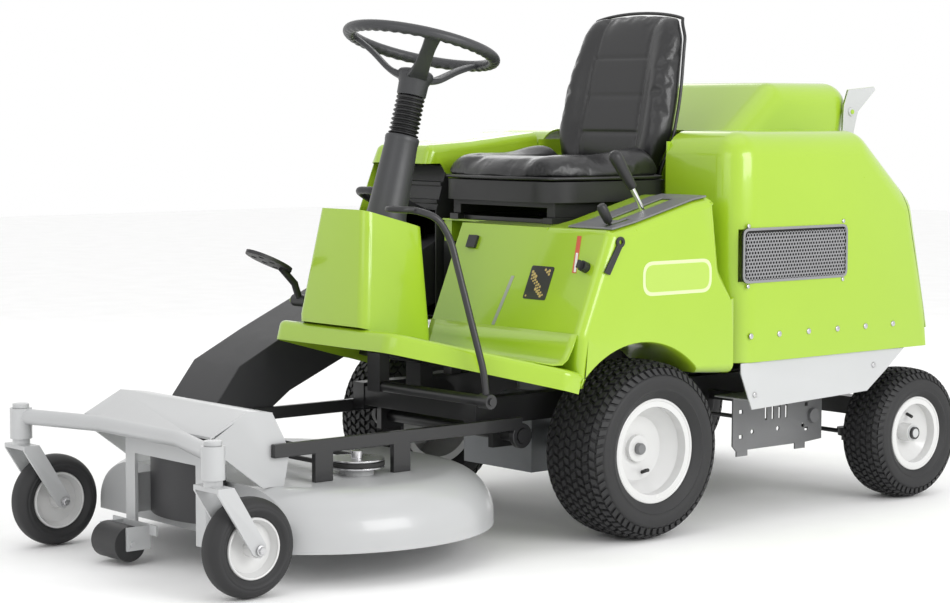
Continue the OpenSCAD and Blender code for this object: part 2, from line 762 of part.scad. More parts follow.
module console() {
    color([0.5, 0.78, 0.1]) difference() {
        hull() {
            for (x = [-96, 96]) translate([x, -540, 470]) cylinder(h = 30, r = 24, $fn = 32);
            for (x = [-96, 96]) translate([x, -392, 430]) cylinder(h = 30, r = 24, $fn = 32);
            for (x = [-62, 62]) for (y = [-508, -392]) translate([x, y, 700])
                cylinder(h = 40, r = 22, $fn = 32);
        }
        hull() {
            for (x = [-94, 94]) translate([x, -538, 460]) cylinder(h = 30, r = 22, $fn = 32);
            for (x = [-94, 94]) translate([x, -394, 420]) cylinder(h = 30, r = 22, $fn = 32);
            for (x = [-61, 61]) for (y = [-507, -393]) translate([x, y, 680])
                cylinder(h = 80, r = 19, $fn = 32);
        }
        // the platform's sloping top trims the foot of the console
        platform_place() box(-300, 300, -300, 400, -100, step_depth + gap);
        // a cut square to the column trims its top
        column_place(0) translate([-300, -300, 0]) cube([600, 600, 200]);
    }
    // pin that the drive pedal swings on
    color("silver") disc_x(drive_x - 28, -112, drive_pivot_y, drive_pivot_z, 6);
    color("silver") disc_x(drive_x - 32, drive_x - 28, drive_pivot_y, drive_pivot_z, 10);
    // top plate that the column stands on
    color([0.5, 0.78, 0.1]) difference() {
        hull() for (x = [-62, 62]) for (y = [-508, -392]) translate([x, y, 640])
            cylinder(h = 120, r = 19.5, $fn = 32);
        column_place(0) translate([-300, -300, 0]) cube([600, 600, 200]);
        column_place(-body_t) translate([-300, -300, -200]) cube([600, 600, 200]);
        column_place(-20) cylinder(h = 60, r = 20, $fn = 48);
    }
}

module column_place(h) {
    translate([0, column_y, column_z]) rotate([-column_tilt, 0, 0]) translate([0, 0, h])
        children();
}

// Side view of the left fender, taken in by t
function fender_line(t) = [[panel_foot.x + t, fender_low - t], [panel_foot.x + t, panel_foot.y],
    [panel_top.x + t, panel_top.y - t], [-62, 707 - t], [117, 752 - t], [167, 759 - t],
    [fender_back - 62 + t, 752 - t], [fender_back - 40 + t, 596], [fender_back - 1 + t, 527],
    [fender_back + t, fender_low - t]];

// Side view of the right fender with its cowl over the duct head
function cowl_line(t) = [[panel_foot.x + t, fender_low - t], [panel_foot.x + t, panel_foot.y],
    [panel_top.x + t, panel_top.y], [-105 + t, 824 - t], [-92 + t, 868 - t], [44, 874 - t],
    [214, 892 - t], [fender_back - 2 + t, 896 - t], [fender_back - 1 + t, 527],
    [fender_back + t, fender_low - t]];
fender_low = 356;

module wheel_arch(x0, x1) {
    side_slab(x0, x1) translate([arch_y, arch_z]) circle(r = arch_r, $fn = curve);
}

module fender_left() {
    color([0.5, 0.78, 0.1]) difference() {
        side_slab(244, body_x) polygon(fender_line(0));
        side_slab(240, body_x - body_t) polygon(fender_line(body_t));
        wheel_arch(230, 600);
        panel_place(key_x, key_height, -30) cylinder(h = 60, r = 7 + run_fit, $fn = 48);
        box(lift_lever_x - 16, lift_lever_x + 16, -60, 112, 690, 800);
        box(throttle_x - 10, throttle_x + 10, -136, -40, 680, 800);
    }
    // pins that the levers turn on
    color("silver") {
        disc_x(lift_lever_x - 10, body_x - 1, 70, 640, 8);
        disc_x(throttle_x - 8, body_x - 1, -74, 662, 6);
        disc_x(body_x - 1, body_x + 8, -118, 668, 5);
    }
}

module fender_right() {
    wall_x = head_x1 + 0.6;
    color([0.5, 0.78, 0.1]) difference() {
        side_slab(-body_x, wall_x + body_t) polygon(cowl_line(0));
        side_slab(-body_x + body_t, wall_x) polygon(cowl_line(body_t));
        wheel_arch(-600, 0);
        // open in front for the duct, and under the cowl on the seat's side
        box(-body_x + body_t, 0, -400, -60, 300, 822);
        side_slab(wall_x - 1, wall_x + 20) polygon([[-300, 300], [-300, 824], [-60, 824],
            [40, 676], [300, 676], [300, 300]]);
    }
}

// Places things on the sloping front panel of the seat box, square to it
function panel_y(z) = panel_top.x - (panel_top.y - z) * (panel_top.x - panel_foot.x)
    / (panel_top.y - panel_foot.y);
module panel_place(x, z, out) {
    lean = atan2(panel_top.y - panel_foot.y, panel_top.x - panel_foot.x);
    translate([x, panel_y(z), z]) rotate([lean, 0, 0]) translate([0, 0, out]) children();
}

module seat_box() {
    // front panel and top deck under the seat, between the fenders
    x0 = -50;
    x1 = 243.5;
    deck_x0 = -rail_x - 12;
    color([0.5, 0.78, 0.1]) {
        side_slab(x0, x1) polygon([panel_foot, panel_top, [-62, 694], [-60, 690],
            [panel_top.x + 4, panel_top.y - 5], [panel_foot.x + 4, panel_foot.y]]);
        box(deck_x0, x1, -66, fender_back, 690, 694);
        side_slab(x0, x0 + body_t) polygon([panel_foot, panel_top, [-62, 694], [-40, 690],
            [-40, panel_foot.y]]);
        both_sides() box(rail_x - 15, rail_x + 12, -60, 220, 640, 690);
    }
}

module control_plate() {
    // grey plate that lies along the left fender's top
    color([0.4, 0.41, 0.42]) difference() {
        side_slab(300, body_x - 8) polygon([[panel_top.x + 8, 694], [-62, 707 + gap],
            [117, 752 + gap], [160, 758.5], [160, 763], [116, 756.5], [-63, 711.5],
            [panel_top.x + 8, 698.5]]);
        box(lift_lever_x - 24, lift_lever_x + 12, -60, 112, 680, 800);
        box(throttle_x - 8, throttle_x + 8, -122, -46, 680, 800);
    }
}

recess_x = 222;      // half the width of the recess behind the seat
hood_front = 250;
function hood_rear(z) = 975 - (z - 490) * 0.296;
skin_split = 34;

// Rounded block: corners [x, y, z] become balls of radius r
module ball_hull(points, r) {
    hull() for (p = points) for (s = [-1, 1]) translate([s * p.x, p.y, p.z])
        sphere(r = r, $fn = 32);
}

module hood_body(t) {
    r = hood_r - t;
    x = body_x - hood_r;
    ball_hull([[x, hood_front + hood_r, hood_z - hood_r],
        [x, hood_rear(hood_z) - 96 - hood_r, hood_z - hood_r],
        [x, hood_rear(700) - hood_r, 700],
        [x, hood_front + hood_r, 300], [x, hood_rear(380) - hood_r, 300]], r);
    ball_hull([[hump_x - 20, 640, hump_z - 60], [hump_x - 20, 840, hump_z - 60],
        [hump_x - 18, 470, hood_z - 80], [hump_x - 18, 800, hood_z - 80]], 60 - t);
}

module hood() {
    color([0.5, 0.78, 0.1]) difference() {
        hood_body(0);
        hood_body(body_t);
        box(-600, 600, 0, 1200, 0, 376);
        // the rear door closes this end
        side_slab(-600, 600) polygon(door_line(0));
        // openings for the seat back and the grass inlet
        box(-recess_x, recess_x, 200, 440, 620, 1200);
        box(head_x0 + 2, head_x1 - 2, 200, 330, 642, 820);
        both_sides() box(body_x - 30, body_x + 10, grille_y0, grille_y1, grille_z0, grille_z1);
    }
    color([0.5, 0.78, 0.1]) {
        // walls of the recess behind the seat
        box(-recess_x - body_t, recess_x + body_t, 440, 440 + body_t, 616, 870);
        box(-recess_x - body_t, recess_x + body_t, 252, 444, 616, 620);
        both_sides() box(recess_x, recess_x + body_t, 252, 444, 616, 880);
    }
    color("silver") both_sides() disc_x(hump_x + 30, hump_x + 58, door_hinge_y, door_hinge_z, 6);
}
grille_y0 = 275;
grille_y1 = 630;
grille_z0 = 562;
grille_z1 = 682;

module side_grilles() {
    color([0.25, 0.25, 0.26]) both_sides() difference() {
        box(body_x - 5, body_x - 2, grille_y0 + gap, grille_y1 - gap, grille_z0 + gap,
            grille_z1 - gap);
        for (i = [0 : 9]) for (k = [0 : 3]) box(body_x - 10, body_x + 5,
            grille_y0 + 14 + i * 33, grille_y0 + 40 + i * 33, grille_z0 + 12 + k * 25,
            grille_z0 + 30 + k * 25);
    }
}

module skirt_plates() {
    x1 = body_x - body_t - 3 * gap;
    color([0.72, 0.73, 0.74]) both_sides() {
        side_slab(x1 - 4, x1) polygon([[276, 375.5], [276, 352], [314, 266], [720, 279],
            [786, 323], [858, 375.5], [810, 375.5], [810, 396], [340, 396], [340, 375.5]]);
        side_slab(plate_x, x1 - 4) polygon([[320, 284], [320, 288], [700, 288], [700, 284]]);
    }
}

door_gap = 3.5;      // slit between the rear door and the hood
// Side view of the opening that the rear door closes
function door_line(g) = [[940 + g, 300], [930 + g, 470], [880 + g, 640], [845 + g, 775],
    [800 + g, 900], [1300, 900], [1300, 300]];
door_hinge_y = 872;
door_hinge_z = 949;
module rear_door() {
    color([0.5, 0.78, 0.1]) {
        difference() {
            hood_body(0);
            hood_body(body_t);
            box(-600, 600, 0, 1200, 0, 420);
            box(-600, 600, 0, 1200, 896, 1200);
            side_slab(-600, 600) polygon(concat([[0, 896], [0, 300]],
                [for (i = [0 : 4]) door_line(door_gap)[i]]));
        }
    }
    // hinge cheeks that reach up over the hump
    color([0.72, 0.73, 0.74]) both_sides() difference() {
        union() {
            side_slab(hump_x + 46, hump_x + 51) polygon([[862, 770], [846, 810], [842, 900],
                [846, 965], [862, 1004], [960, 1012], [965, 1004], [900, 950], [885, 900],
                [892, 762]]);
        }
        disc_x(hump_x + 40, hump_x + 60, door_hinge_y, door_hinge_z, 6 + run_fit);
    }
}

// ---------- steering ----------

module column_cover() {
    color([0.13, 0.13, 0.14]) column_place(0) difference() {
        union() {
            difference() {
                cylinder(h = cover_len, r1 = 44, r2 = 36, $fn = curve);
                translate([0, 0, -1]) cylinder(h = cover_len + 2, r = 28, $fn = 48);
            }
            for (z = [0, cover_len - 12]) translate([0, 0, z]) cylinder(h = 12, r = 30, $fn = 48);
        }
        translate([0, 0, -1]) cylinder(h = cover_len + 2, r = shaft_d / 2 + run_fit, $fn = 48);
    }
}

module column_boot() {
    rings = 9;
    pitch = boot_len / rings;
    color([0.05, 0.05, 0.05]) column_place(cover_len) difference() {
        union() {
            cylinder(h = boot_len, r = 27, $fn = 48);
            for (i = [0 : rings - 1]) translate([0, 0, (i + 0.2) * pitch])
                cylinder(h = pitch * 0.6, r = 34, $fn = 48);
        }
        translate([0, 0, -1]) cylinder(h = boot_len + 2, r = 22, $fn = 48);
    }
}

module steering_wheel() {
    hub_z = cover_len + boot_len + 0.5;
    rim_z = hub_z + hub_len + dish;
    ring_r = (wheel_d - grip_d) / 2;
    color([0.09, 0.09, 0.1]) column_place(0) {
        translate([0, 0, -30]) cylinder(h = hub_z + 40, r = shaft_d / 2, $fn = 48);
        translate([0, 0, hub_z]) cylinder(h = hub_len, r = 32, $fn = curve);
        translate([0, 0, rim_z]) rotate_extrude($fn = curve) translate([ring_r, 0])
            circle(r = grip_d / 2, $fn = 32);
        for (a = [90, 210, 330]) rotate([0, 0, a]) bar([18, 0, hub_z + hub_len - 10],
            [ring_r - 4, 0, rim_z - 6], 9);
    }
}

// ---------- seat ----------

module seat_base() {
    color([0.05, 0.05, 0.05]) {
        both_sides() box(150, 180, -70, 230, 694, 708);
        for (y = [-50, 190]) box(-150, 150, y, y + 20, 694, 704);
    }
}

module seat_pan() {
    color([0.05, 0.05, 0.05]) {
        both_sides() box(152, 178, -60, 220, 708 + gap, 730);
        box(-178, 178, -60, 220, 730, 742);
        hull() for (x = [-1, 1]) for (y = [seat_front + 90, seat_back - 34])
            translate([x * (seat_w / 2 - 90), y, 742]) cylinder(h = seat_z - 742, r = 78, $fn = 32);
        // straps that carry the backrest
        both_sides() side_slab(110, 130) polygon([[216, 733], [back_point(0, -55).x + back_t, 737],
            back_point(back_t + 8, 190), back_point(back_t, 190), back_point(back_t, -37),
            [216, 744.5]]);
    }
}

// Side view position of a point on the leaning backrest
function back_point(y, z) = [seat_back - 28 + y * cos(recline) + z * sin(recline),
    seat_z + 20 - y * sin(recline) + z * cos(recline)];

module back_place() {
    translate([0, seat_back - 28, seat_z + 20]) rotate([-recline, 0, 0]) children();
}

module seat_cushion() {
    color([0.03, 0.03, 0.03]) hull() for (x = [-1, 1]) {
        translate([x * (seat_w / 2 - 90), seat_front + 90, seat_z]) cylinder(h = seat_h - 8,
            r = 90, $fn = 32);
        translate([x * (seat_w / 2 - 40), seat_back - 70, seat_z]) cylinder(h = seat_h,
            r = 40, $fn = 32);
    }
}

module seat_backrest() {
    color([0.03, 0.03, 0.03]) back_place() hull() for (x = [-1, 1]) for (z = [40, back_len - 60])
            translate([x * (back_w / 2 - 50), 0, z]) rotate([-90, 0, 0])
                cylinder(h = back_t, r = z < 100 ? 40 : 50, $fn = 32);
}

// ---------- controls ----------

pedal_y = -428;
pedal_z = 338;
module lift_pedal() {
    color([0.05, 0.05, 0.05]) {
        difference() {
            disc_x(352, 386, pedal_y, pedal_z, 16);
            disc_x(340, 400, pedal_y, pedal_z, 8 + run_fit);
        }
        bent_bar([[369, pedal_y, pedal_z + 12], [366, pedal_y - 4, 400], [306, -474, 680],
            [296, -500, 726], [268, -536, 742], [205, -548, 742]], 7);
        box(205, 262, -590, -540, 738, 746);
    }
}

drive_x = -190;
module drive_pedal() {
    x = drive_x;
    color([0.08, 0.08, 0.08]) {
        difference() {
            disc_x(x - 25, x + 25, drive_pivot_y, drive_pivot_z, 14);
            disc_x(x - 30, x + 30, drive_pivot_y, drive_pivot_z, 6 + run_fit);
        }
        bent_bar([[x, drive_pivot_y - 8, drive_pivot_z + 8], [x, -520, 560], [x, -556, 596]], 8);
        translate([x, -592, 610]) rotate([-24, 0, 0]) linear_extrude(8) difference() {
            scale([0.62, 1]) circle(r = 62, $fn = 48);
            for (y = [-32, 0, 32]) for (s = [-1, 1]) translate([s * 14, y]) circle(r = 7, $fn = 24);
        }
    }
}
drive_pivot_y = -500;
drive_pivot_z = 520;

module lever(x, foot, tip, r, grip_r, grip_len) {
    v = (tip - foot) / norm(tip - foot);
    bar(foot, tip - v * (grip_len - 6), r);
    bar(tip - v * grip_len, tip, grip_r);
    translate(tip) sphere(r = grip_r * ball_swell, $fn = 32);
}

lift_lever_x = 372;
module lift_lever() {
    // long chrome lever with a black grip
    color([0.75, 0.75, 0.76]) {
        lever(lift_lever_x, [lift_lever_x, 70, 650], [lift_lever_x - 14, -48, 858], 6, 14, 96);
        difference() {
            disc_x(lift_lever_x - 6, lift_lever_x + 6, 70, 640, 18);
            disc_x(lift_lever_x - 10, lift_lever_x + 10, 70, 640, 8 + run_fit);
        }
    }
}

throttle_x = 404;
module throttle_lever() {
    color([0.1, 0.1, 0.1]) {
        lever(throttle_x, [throttle_x, -76, 672], [throttle_x - 4, -128, 748], 4, 11, 44);
        difference() {
            disc_x(throttle_x - 4, throttle_x + 4, -74, 662, 14);
            disc_x(throttle_x - 8, throttle_x + 8, -74, 662, 6 + run_fit);
        }
    }
}

module blade_lever() {
    color([0.06, 0.06, 0.06]) {
        difference() {
            disc_x(body_x + 0.5, body_x + 5.5, -118, 668, 12);
            disc_x(body_x, body_x + 8, -118, 668, 5 + run_fit);
        }
        side_slab(body_x + 0.5, body_x + 5.5) polygon([[-128, 662], [-112, 660], [-150, 598],
            [-166, 604]]);
    }
}

key_x = 405;
key_height = 612;
module key_switch() {
    color([0.12, 0.12, 0.12]) panel_place(key_x, key_height, 0) {
        translate([0, 0, gap]) cylinder(h = 16, r = 12, $fn = 48);
        translate([-3, -9, 15]) cube([6, 18, 14]);
        translate([0, 0, -12]) cylinder(h = 14, r = 7, $fn = 48);
    }
}

module seat_light() {
    color([0.05, 0.05, 0.05]) panel_place(10, 650, gap) translate([-15, -15, 0])
        cube([30, 30, 8]);
}

module placed() translate([0, -mid_y, 0]) children();

placed() {
    chassis_frame();
    side_plates();
    transaxle();
    engine();
    battery();
    fuel_tank();
    rear_axle_beam();
    knuckle(1);  // knuckle_left
    knuckle(-1);  // knuckle_right
    tie_rod();
    front_tyre(1);  // front_tyre_left
    front_rim(1);  // front_rim_left
    front_tyre(-1);  // front_tyre_right
    front_rim(-1);  // front_rim_right
    rear_tyre(1);  // rear_tyre_left
    rear_rim(1);  // rear_rim_left
    rear_tyre(-1);  // rear_tyre_right
    rear_rim(-1);  // rear_rim_right
    deck_shell();
    deck_frame();
    front_beam();
    front_arch();
    front_cover();
    scalp_roller();
    caster_fork(1);  // caster_fork_left
    caster_fork(-1);  // caster_fork_right
    caster_tyre(1);  // caster_tyre_left
    caster_tyre(-1);  // caster_tyre_right
    caster_rim(1);  // caster_rim_left
    caster_rim(-1);  // caster_rim_right
    blade(1);  // blade_left
    blade(-1);  // blade_right
    drive_belt();
    grass_duct();
    duct_head();
    duct_handle();
    platform();
    console();
    fender_left();
    fender_right();
    seat_box();
    control_plate();
    hood();
    side_grilles();
    skirt_plates();
    rear_door();
    column_cover();
    column_boot();
    steering_wheel();
    seat_base();
    seat_pan();
    seat_cushion();
    seat_backrest();
    drive_pedal();
    lift_pedal();
    lift_lever();
    throttle_lever();
    blade_lever();
    key_switch();
    seat_light();
}
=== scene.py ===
"""Riding lawn mower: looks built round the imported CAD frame."""
import bpy
import bmesh
import json
import math
import numpy as np
from mathutils import Matrix, Vector
from mathutils.geometry import delaunay_2d_cdt


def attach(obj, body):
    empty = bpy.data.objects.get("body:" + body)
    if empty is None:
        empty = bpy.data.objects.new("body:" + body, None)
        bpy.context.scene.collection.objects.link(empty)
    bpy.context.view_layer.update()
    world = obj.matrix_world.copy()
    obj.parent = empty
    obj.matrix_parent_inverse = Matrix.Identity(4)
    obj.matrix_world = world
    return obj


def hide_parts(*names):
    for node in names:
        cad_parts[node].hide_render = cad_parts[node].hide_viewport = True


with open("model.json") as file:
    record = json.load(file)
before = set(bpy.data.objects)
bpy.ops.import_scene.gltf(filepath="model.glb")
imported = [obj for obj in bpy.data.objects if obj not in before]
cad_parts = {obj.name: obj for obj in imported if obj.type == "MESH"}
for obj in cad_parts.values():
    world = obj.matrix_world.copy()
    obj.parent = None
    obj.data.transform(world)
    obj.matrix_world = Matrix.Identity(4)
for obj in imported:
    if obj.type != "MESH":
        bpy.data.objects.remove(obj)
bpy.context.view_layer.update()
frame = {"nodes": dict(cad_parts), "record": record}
nodes = frame["nodes"]
slot_of = {s["node"]: s["material_slot"] for s in frame["record"]["subparts"]}
ARCH_Y, ARCH_Z, ARCH_R = -45, 196, 246   # centre and radius of the wheel arches, in mm
SHIFT = 42.0   # the drive axle stands this far in front of the frame's origin, in mm


def at(x, y, z):
    """A point given in millimetres from the drive axle, as metres in the row frame."""
    return Vector((x / 1000, (y + SHIFT) / 1000, z / 1000))


# ---------- camera, light and floor ----------

def make_camera():
    az, el, roll = math.radians(49.48), math.radians(4.76), math.radians(0.13)
    back = Vector((math.sin(az) * math.cos(el), -math.cos(az) * math.cos(el), math.sin(el)))
    right = Vector((math.cos(az), math.sin(az), 0))
    up = back.cross(right)
    r2 = right * math.cos(roll) + up * math.sin(roll)
    u2 = up * math.cos(roll) - right * math.sin(roll)
    cam = bpy.data.objects.new("camera", bpy.data.cameras.new("camera"))
    cam.data.lens = 88.34
    cam.data.sensor_width = 36
    cam.data.clip_end = 60
    m = Matrix((r2, u2, back)).transposed().to_4x4()
    m.translation = at(4077, -3629, 958)
    cam.matrix_world = m
    bpy.context.collection.objects.link(cam)
    bpy.context.scene.camera = cam


def area_light(name, where, target, size, power, colour=(1, 1, 1)):
    data = bpy.data.lights.new(name, "AREA")
    data.shape = "RECTANGLE"
    data.size, data.size_y = size
    data.energy = power
    data.color = colour
    ob = bpy.data.objects.new(name, data)
    ob.location = where
    ob.rotation_euler = (Vector(target) - Vector(where)).to_track_quat("-Z", "Y").to_euler()
    bpy.context.collection.objects.link(ob)


def make_stage():
    me = bpy.data.meshes.new("floor")
    s = 14
    me.from_pydata([(-s, -s, -0.001), (s, -s, -0.001), (s, s, -0.001), (-s, s, -0.001)], [],
                   [(0, 1, 2, 3)])
    floor = bpy.data.objects.new("floor", me)
    bpy.context.collection.objects.link(floor)
    me.materials.append(material("floor_pale", (0.96, 0.96, 0.955), rough=0.8))
    world = bpy.data.worlds.new("studio")
    world.use_nodes = True
    world.node_tree.nodes["Background"].inputs[0].default_value = (1, 1, 1, 1)
    world.node_tree.nodes["Background"].inputs[1].default_value = 1.0
    bpy.context.scene.world = world
    bpy.context.scene.view_settings.view_transform = "Standard"
    area_light("key", (4.4, 0.2, 2.2), (0, 0, 0.5), (2.6, 2.0), 95)
    area_light("fill", (1.2, -4.4, 2.6), (0, 0.2, 0.6), (2.4, 2.4), 22)
    area_light("top", (0.2, 0.4, 4.4), (0, 0, 0), (3.2, 3.2), 14)
    area_light("back", (-3.6, 2.6, 2.4), (0, 0, 0.6), (2.0, 2.0), 16)


# ---------- materials ----------

def material(name, base, rough=0.5, metallic=0.0, coat=0.0, bump=0.0, bump_scale=400.0,
             vary=0.05, vary_scale=6.0, grain=None, sheen=0.0, edge=0.0):
    """Principled surface with procedural colour variation, roughness variation and bump."""
    m = bpy.data.materials.new(name)
    m.use_nodes = True
    nt = m.node_tree
    shader = nt.nodes["Principled BSDF"]
    shader.inputs["Metallic"].default_value = metallic
    shader.inputs["Coat Weight"].default_value = coat
    shader.inputs["Coat Roughness"].default_value = 0.08
    shader.inputs["Sheen Weight"].default_value = sheen
    coord = nt.nodes.new("ShaderNodeTexCoord")

    def noise(scale, detail=3.0):
        n = nt.nodes.new("ShaderNodeTexNoise")
        n.inputs["Scale"].default_value = scale
        n.inputs["Detail"].default_value = detail
        nt.links.new(coord.outputs["Object"], n.inputs["Vector"])
        return n

    big = noise(vary_scale)
    mix = nt.nodes.new("ShaderNodeMix")
    mix.data_type = "RGBA"
    mix.inputs["A"].default_value = (*[max(0, c * (1 - vary)) for c in base], 1)
    mix.inputs["B"].default_value = (*[min(1, c * (1 + vary)) for c in base], 1)
    nt.links.new(big.outputs["Fac"], mix.inputs["Factor"])
    colour = mix.outputs["Result"]
    if edge > 0:
        geo = nt.nodes.new("ShaderNodeNewGeometry")
        ramp = nt.nodes.new("ShaderNodeMapRange")
        ramp.inputs["From Min"].default_value = 0.52
        ramp.inputs["From Max"].default_value = 0.62
        ramp.inputs["To Max"].default_value = edge
        nt.links.new(geo.outputs["Pointiness"], ramp.inputs["Value"])
        wear = nt.nodes.new("ShaderNodeMix")
        wear.data_type = "RGBA"
        wear.inputs["B"].default_value = (*[min(1, c * 1.5 + 0.08) for c in base], 1)
        nt.links.new(ramp.outputs["Result"], wear.inputs["Factor"])
        nt.links.new(colour, wear.inputs["A"])
        colour = wear.outputs["Result"]
    nt.links.new(colour, shader.inputs["Base Color"])
    rr = nt.nodes.new("ShaderNodeMapRange")
    rr.inputs["To Min"].default_value = max(0.02, rough - 0.05)
    rr.inputs["To Max"].default_value = min(1, rough + 0.05)
    nt.links.new(noise(vary_scale * 4).outputs["Fac"], rr.inputs["Value"])
    nt.links.new(rr.outputs["Result"], shader.inputs["Roughness"])
    if bump > 0:
        b = nt.nodes.new("ShaderNodeBump")
        b.inputs["Strength"].default_value = bump
        b.inputs["Distance"].default_value = 0.001
        if grain == "leather":
            v = nt.nodes.new("ShaderNodeTexVoronoi")
            v.inputs["Scale"].default_value = bump_scale
            nt.links.new(coord.outputs["Object"], v.inputs["Vector"])
            nt.links.new(v.outputs["Distance"], b.inputs["Height"])
        else:
            nt.links.new(noise(bump_scale, 5.0).outputs["Fac"], b.inputs["Height"])
        nt.links.new(b.outputs["Normal"], shader.inputs["Normal"])
    return m


GREEN = (0.32, 0.50, 0.018)
MATS = {
    "body_green": material("body_green", GREEN, 0.30, coat=0.7, bump=0.03, bump_scale=90,
                           vary=0.03),
    "light_grey": material("light_grey", (0.47, 0.478, 0.482), 0.34, coat=0.3, bump=0.05, edge=0.2),
    "deck_grey": material("deck_grey", (0.43, 0.436, 0.44), 0.33, coat=0.35, bump=0.06, edge=0.2),
    "black_frame": material("black_frame", (0.014, 0.014, 0.015), 0.38, coat=0.2, bump=0.08),
    "plate_grey": material("plate_grey", (0.17, 0.172, 0.176), 0.42, metallic=0.3, bump=0.06,
                           edge=0.3),
    "rim_white": material("rim_white", (0.62, 0.62, 0.615), 0.25, coat=0.5, bump=0.03, vary=0.02),
    "tyre_black": material("tyre_black", (0.016, 0.016, 0.017), 0.62, bump=0.25, vary=0.2),
    "duct_black": material("duct_black", (0.022, 0.022, 0.024), 0.45, bump=0.2, bump_scale=900),
    "black_plastic": material("black_plastic", (0.014, 0.014, 0.015), 0.42, bump=0.2,
                              bump_scale=1200),
    "vinyl_black": material("vinyl_black", (0.010, 0.010, 0.011), 0.33, bump=0.22,
                            bump_scale=700, grain="leather", coat=0.15),
    "cast_metal": material("cast_metal", (0.30, 0.31, 0.32), 0.5, metallic=0.9, bump=0.3),
    "bare_steel": material("bare_steel", (0.55, 0.55, 0.56), 0.28, metallic=1.0, bump=0.04),
    "belt_rubber": material("belt_rubber", (0.015, 0.015, 0.015), 0.6, bump=0.2),
    "grille_mesh": material("grille_mesh", (0.30, 0.30, 0.31), 0.4, metallic=0.6, bump=0.05),
    "engine_black": material("engine_black", (0.02, 0.02, 0.022), 0.45, bump=0.2),
}
grey_plastic = material("grey_plastic", (0.036, 0.037, 0.040), 0.40, bump=0.2, bump_scale=900)
chrome = material("chrome", (0.75, 0.75, 0.76), 0.10, metallic=1.0, vary=0.02)
decal_white = material("decal_white", (0.60, 0.72, 0.36), 0.35, coat=0.4, vary=0.01)
decal_pale = material("decal_pale", (0.38, 0.55, 0.07), 0.35, coat=0.4, vary=0.01)
decal_dark = material("decal_dark", (0.02, 0.02, 0.018), 0.35, coat=0.4, vary=0.01)
decal_red = material("decal_red", (0.55, 0.09, 0.04), 0.35, coat=0.4, vary=0.01)
decal_gold = material("decal_gold", (0.45, 0.33, 0.10), 0.35, coat=0.4, vary=0.01)
decal_plain = material("decal_plain", (0.72, 0.72, 0.70), 0.35, coat=0.4, vary=0.01)
decal_silver = material("decal_silver", (0.42, 0.44, 0.40), 0.3, metallic=0.6, vary=0.02)
# painted shade: near-black colour for the flat sheets that stand in for the shade inside the hood
# behind the grilles
painted_shade_inside = material("painted_shade_inside", (0.012, 0.012, 0.012), 0.7)


# ---------- mesh helpers ----------

def piece(name, verts, faces, mat, body, stands_for=(), angle=32):
    """A new mesh in the row frame, in metres, riding on a body."""
    me = bpy.data.meshes.new(name)
    me.from_pydata([tuple(v) for v in verts], [], faces)
    bm = bmesh.new()
    bm.from_mesh(me)
    bmesh.ops.remove_doubles(bm, verts=bm.verts, dist=1e-6)
    bmesh.ops.recalc_face_normals(bm, faces=bm.faces)
    bm.to_mesh(me)
    bm.free()
    me.polygons.foreach_set("use_smooth", [True] * len(me.polygons))
    if angle:
        me.set_sharp_from_angle(angle=math.radians(angle))
    ob = bpy.data.objects.new(name, me)
    bpy.context.collection.objects.link(ob)
    me.materials.append(mat)
    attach(ob, body)
    if stands_for:
        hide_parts(*stands_for)
    return ob


def basis(axis):
    axis = Vector(axis).normalized()
    u = axis.orthogonal().normalized()
    return u, axis.cross(u)


def revolve(profile, origin, axis, seg=96):
    """Profile of (radius, height) in mm about an axis through origin (mm, drive axle frame)."""
    axis = Vector(axis).normalized()
    u, w = basis(axis)
    o = at(*origin)
    verts, faces = [], []
    for r, h in profile:
        for k in range(seg):
            a = 2 * math.pi * k / seg
            verts.append(o + axis * (h / 1000) + (u * math.cos(a) + w * math.sin(a)) * (r / 1000))
    for i in range(len(profile) - 1):
        for k in range(seg):
            n = (k + 1) % seg
            faces.append((i * seg + k, i * seg + n, (i + 1) * seg + n, (i + 1) * seg + k))
    for i in (0, len(profile) - 1):
        if profile[i][0] > 0.5:
            continue
        # collapse the pole
        c = o + axis * (profile[i][1] / 1000)
        for k in range(seg):
            verts[i * seg + k] = c
    return verts, faces


def smooth_line(points, step=8):
    """Catmull-Rom curve through points, of any dimension."""
    p = [np.array(q, float) for q in points]
    p = [2 * p[0] - p[1]] + p + [2 * p[-1] - p[-2]]
    out = []
    for i in range(1, len(p) - 2):
        for k in range(step):
            t = k / step
            out.append(0.5 * (2 * p[i] + (p[i + 1] - p[i - 1]) * t
                              + (2 * p[i - 1] - 5 * p[i] + 4 * p[i + 1] - p[i + 2]) * t * t
                              + (3 * p[i] - p[i - 1] - 3 * p[i + 1] + p[i + 2]) * t ** 3))
    out.append(p[-2])
    return out


def bend_line(points, r, step=6):
    """Points (mm) with each corner turned into an arc-like curve of about radius r."""
    p = [Vector(q) for q in points]
    out = [p[0]]
    for i in range(1, len(p) - 1):
        a, b = (p[i - 1] - p[i]), (p[i + 1] - p[i])
        d = min(r, a.length * 0.45, b.length * 0.45)
        s, e = p[i] + a.normalized() * d, p[i] + b.normalized() * d
        for k in range(step + 1):
            t = k / step
            out.append(s * (1 - t) ** 2 + p[i] * 2 * t * (1 - t) + e * t * t)
    out.append(p[-1])
    return out


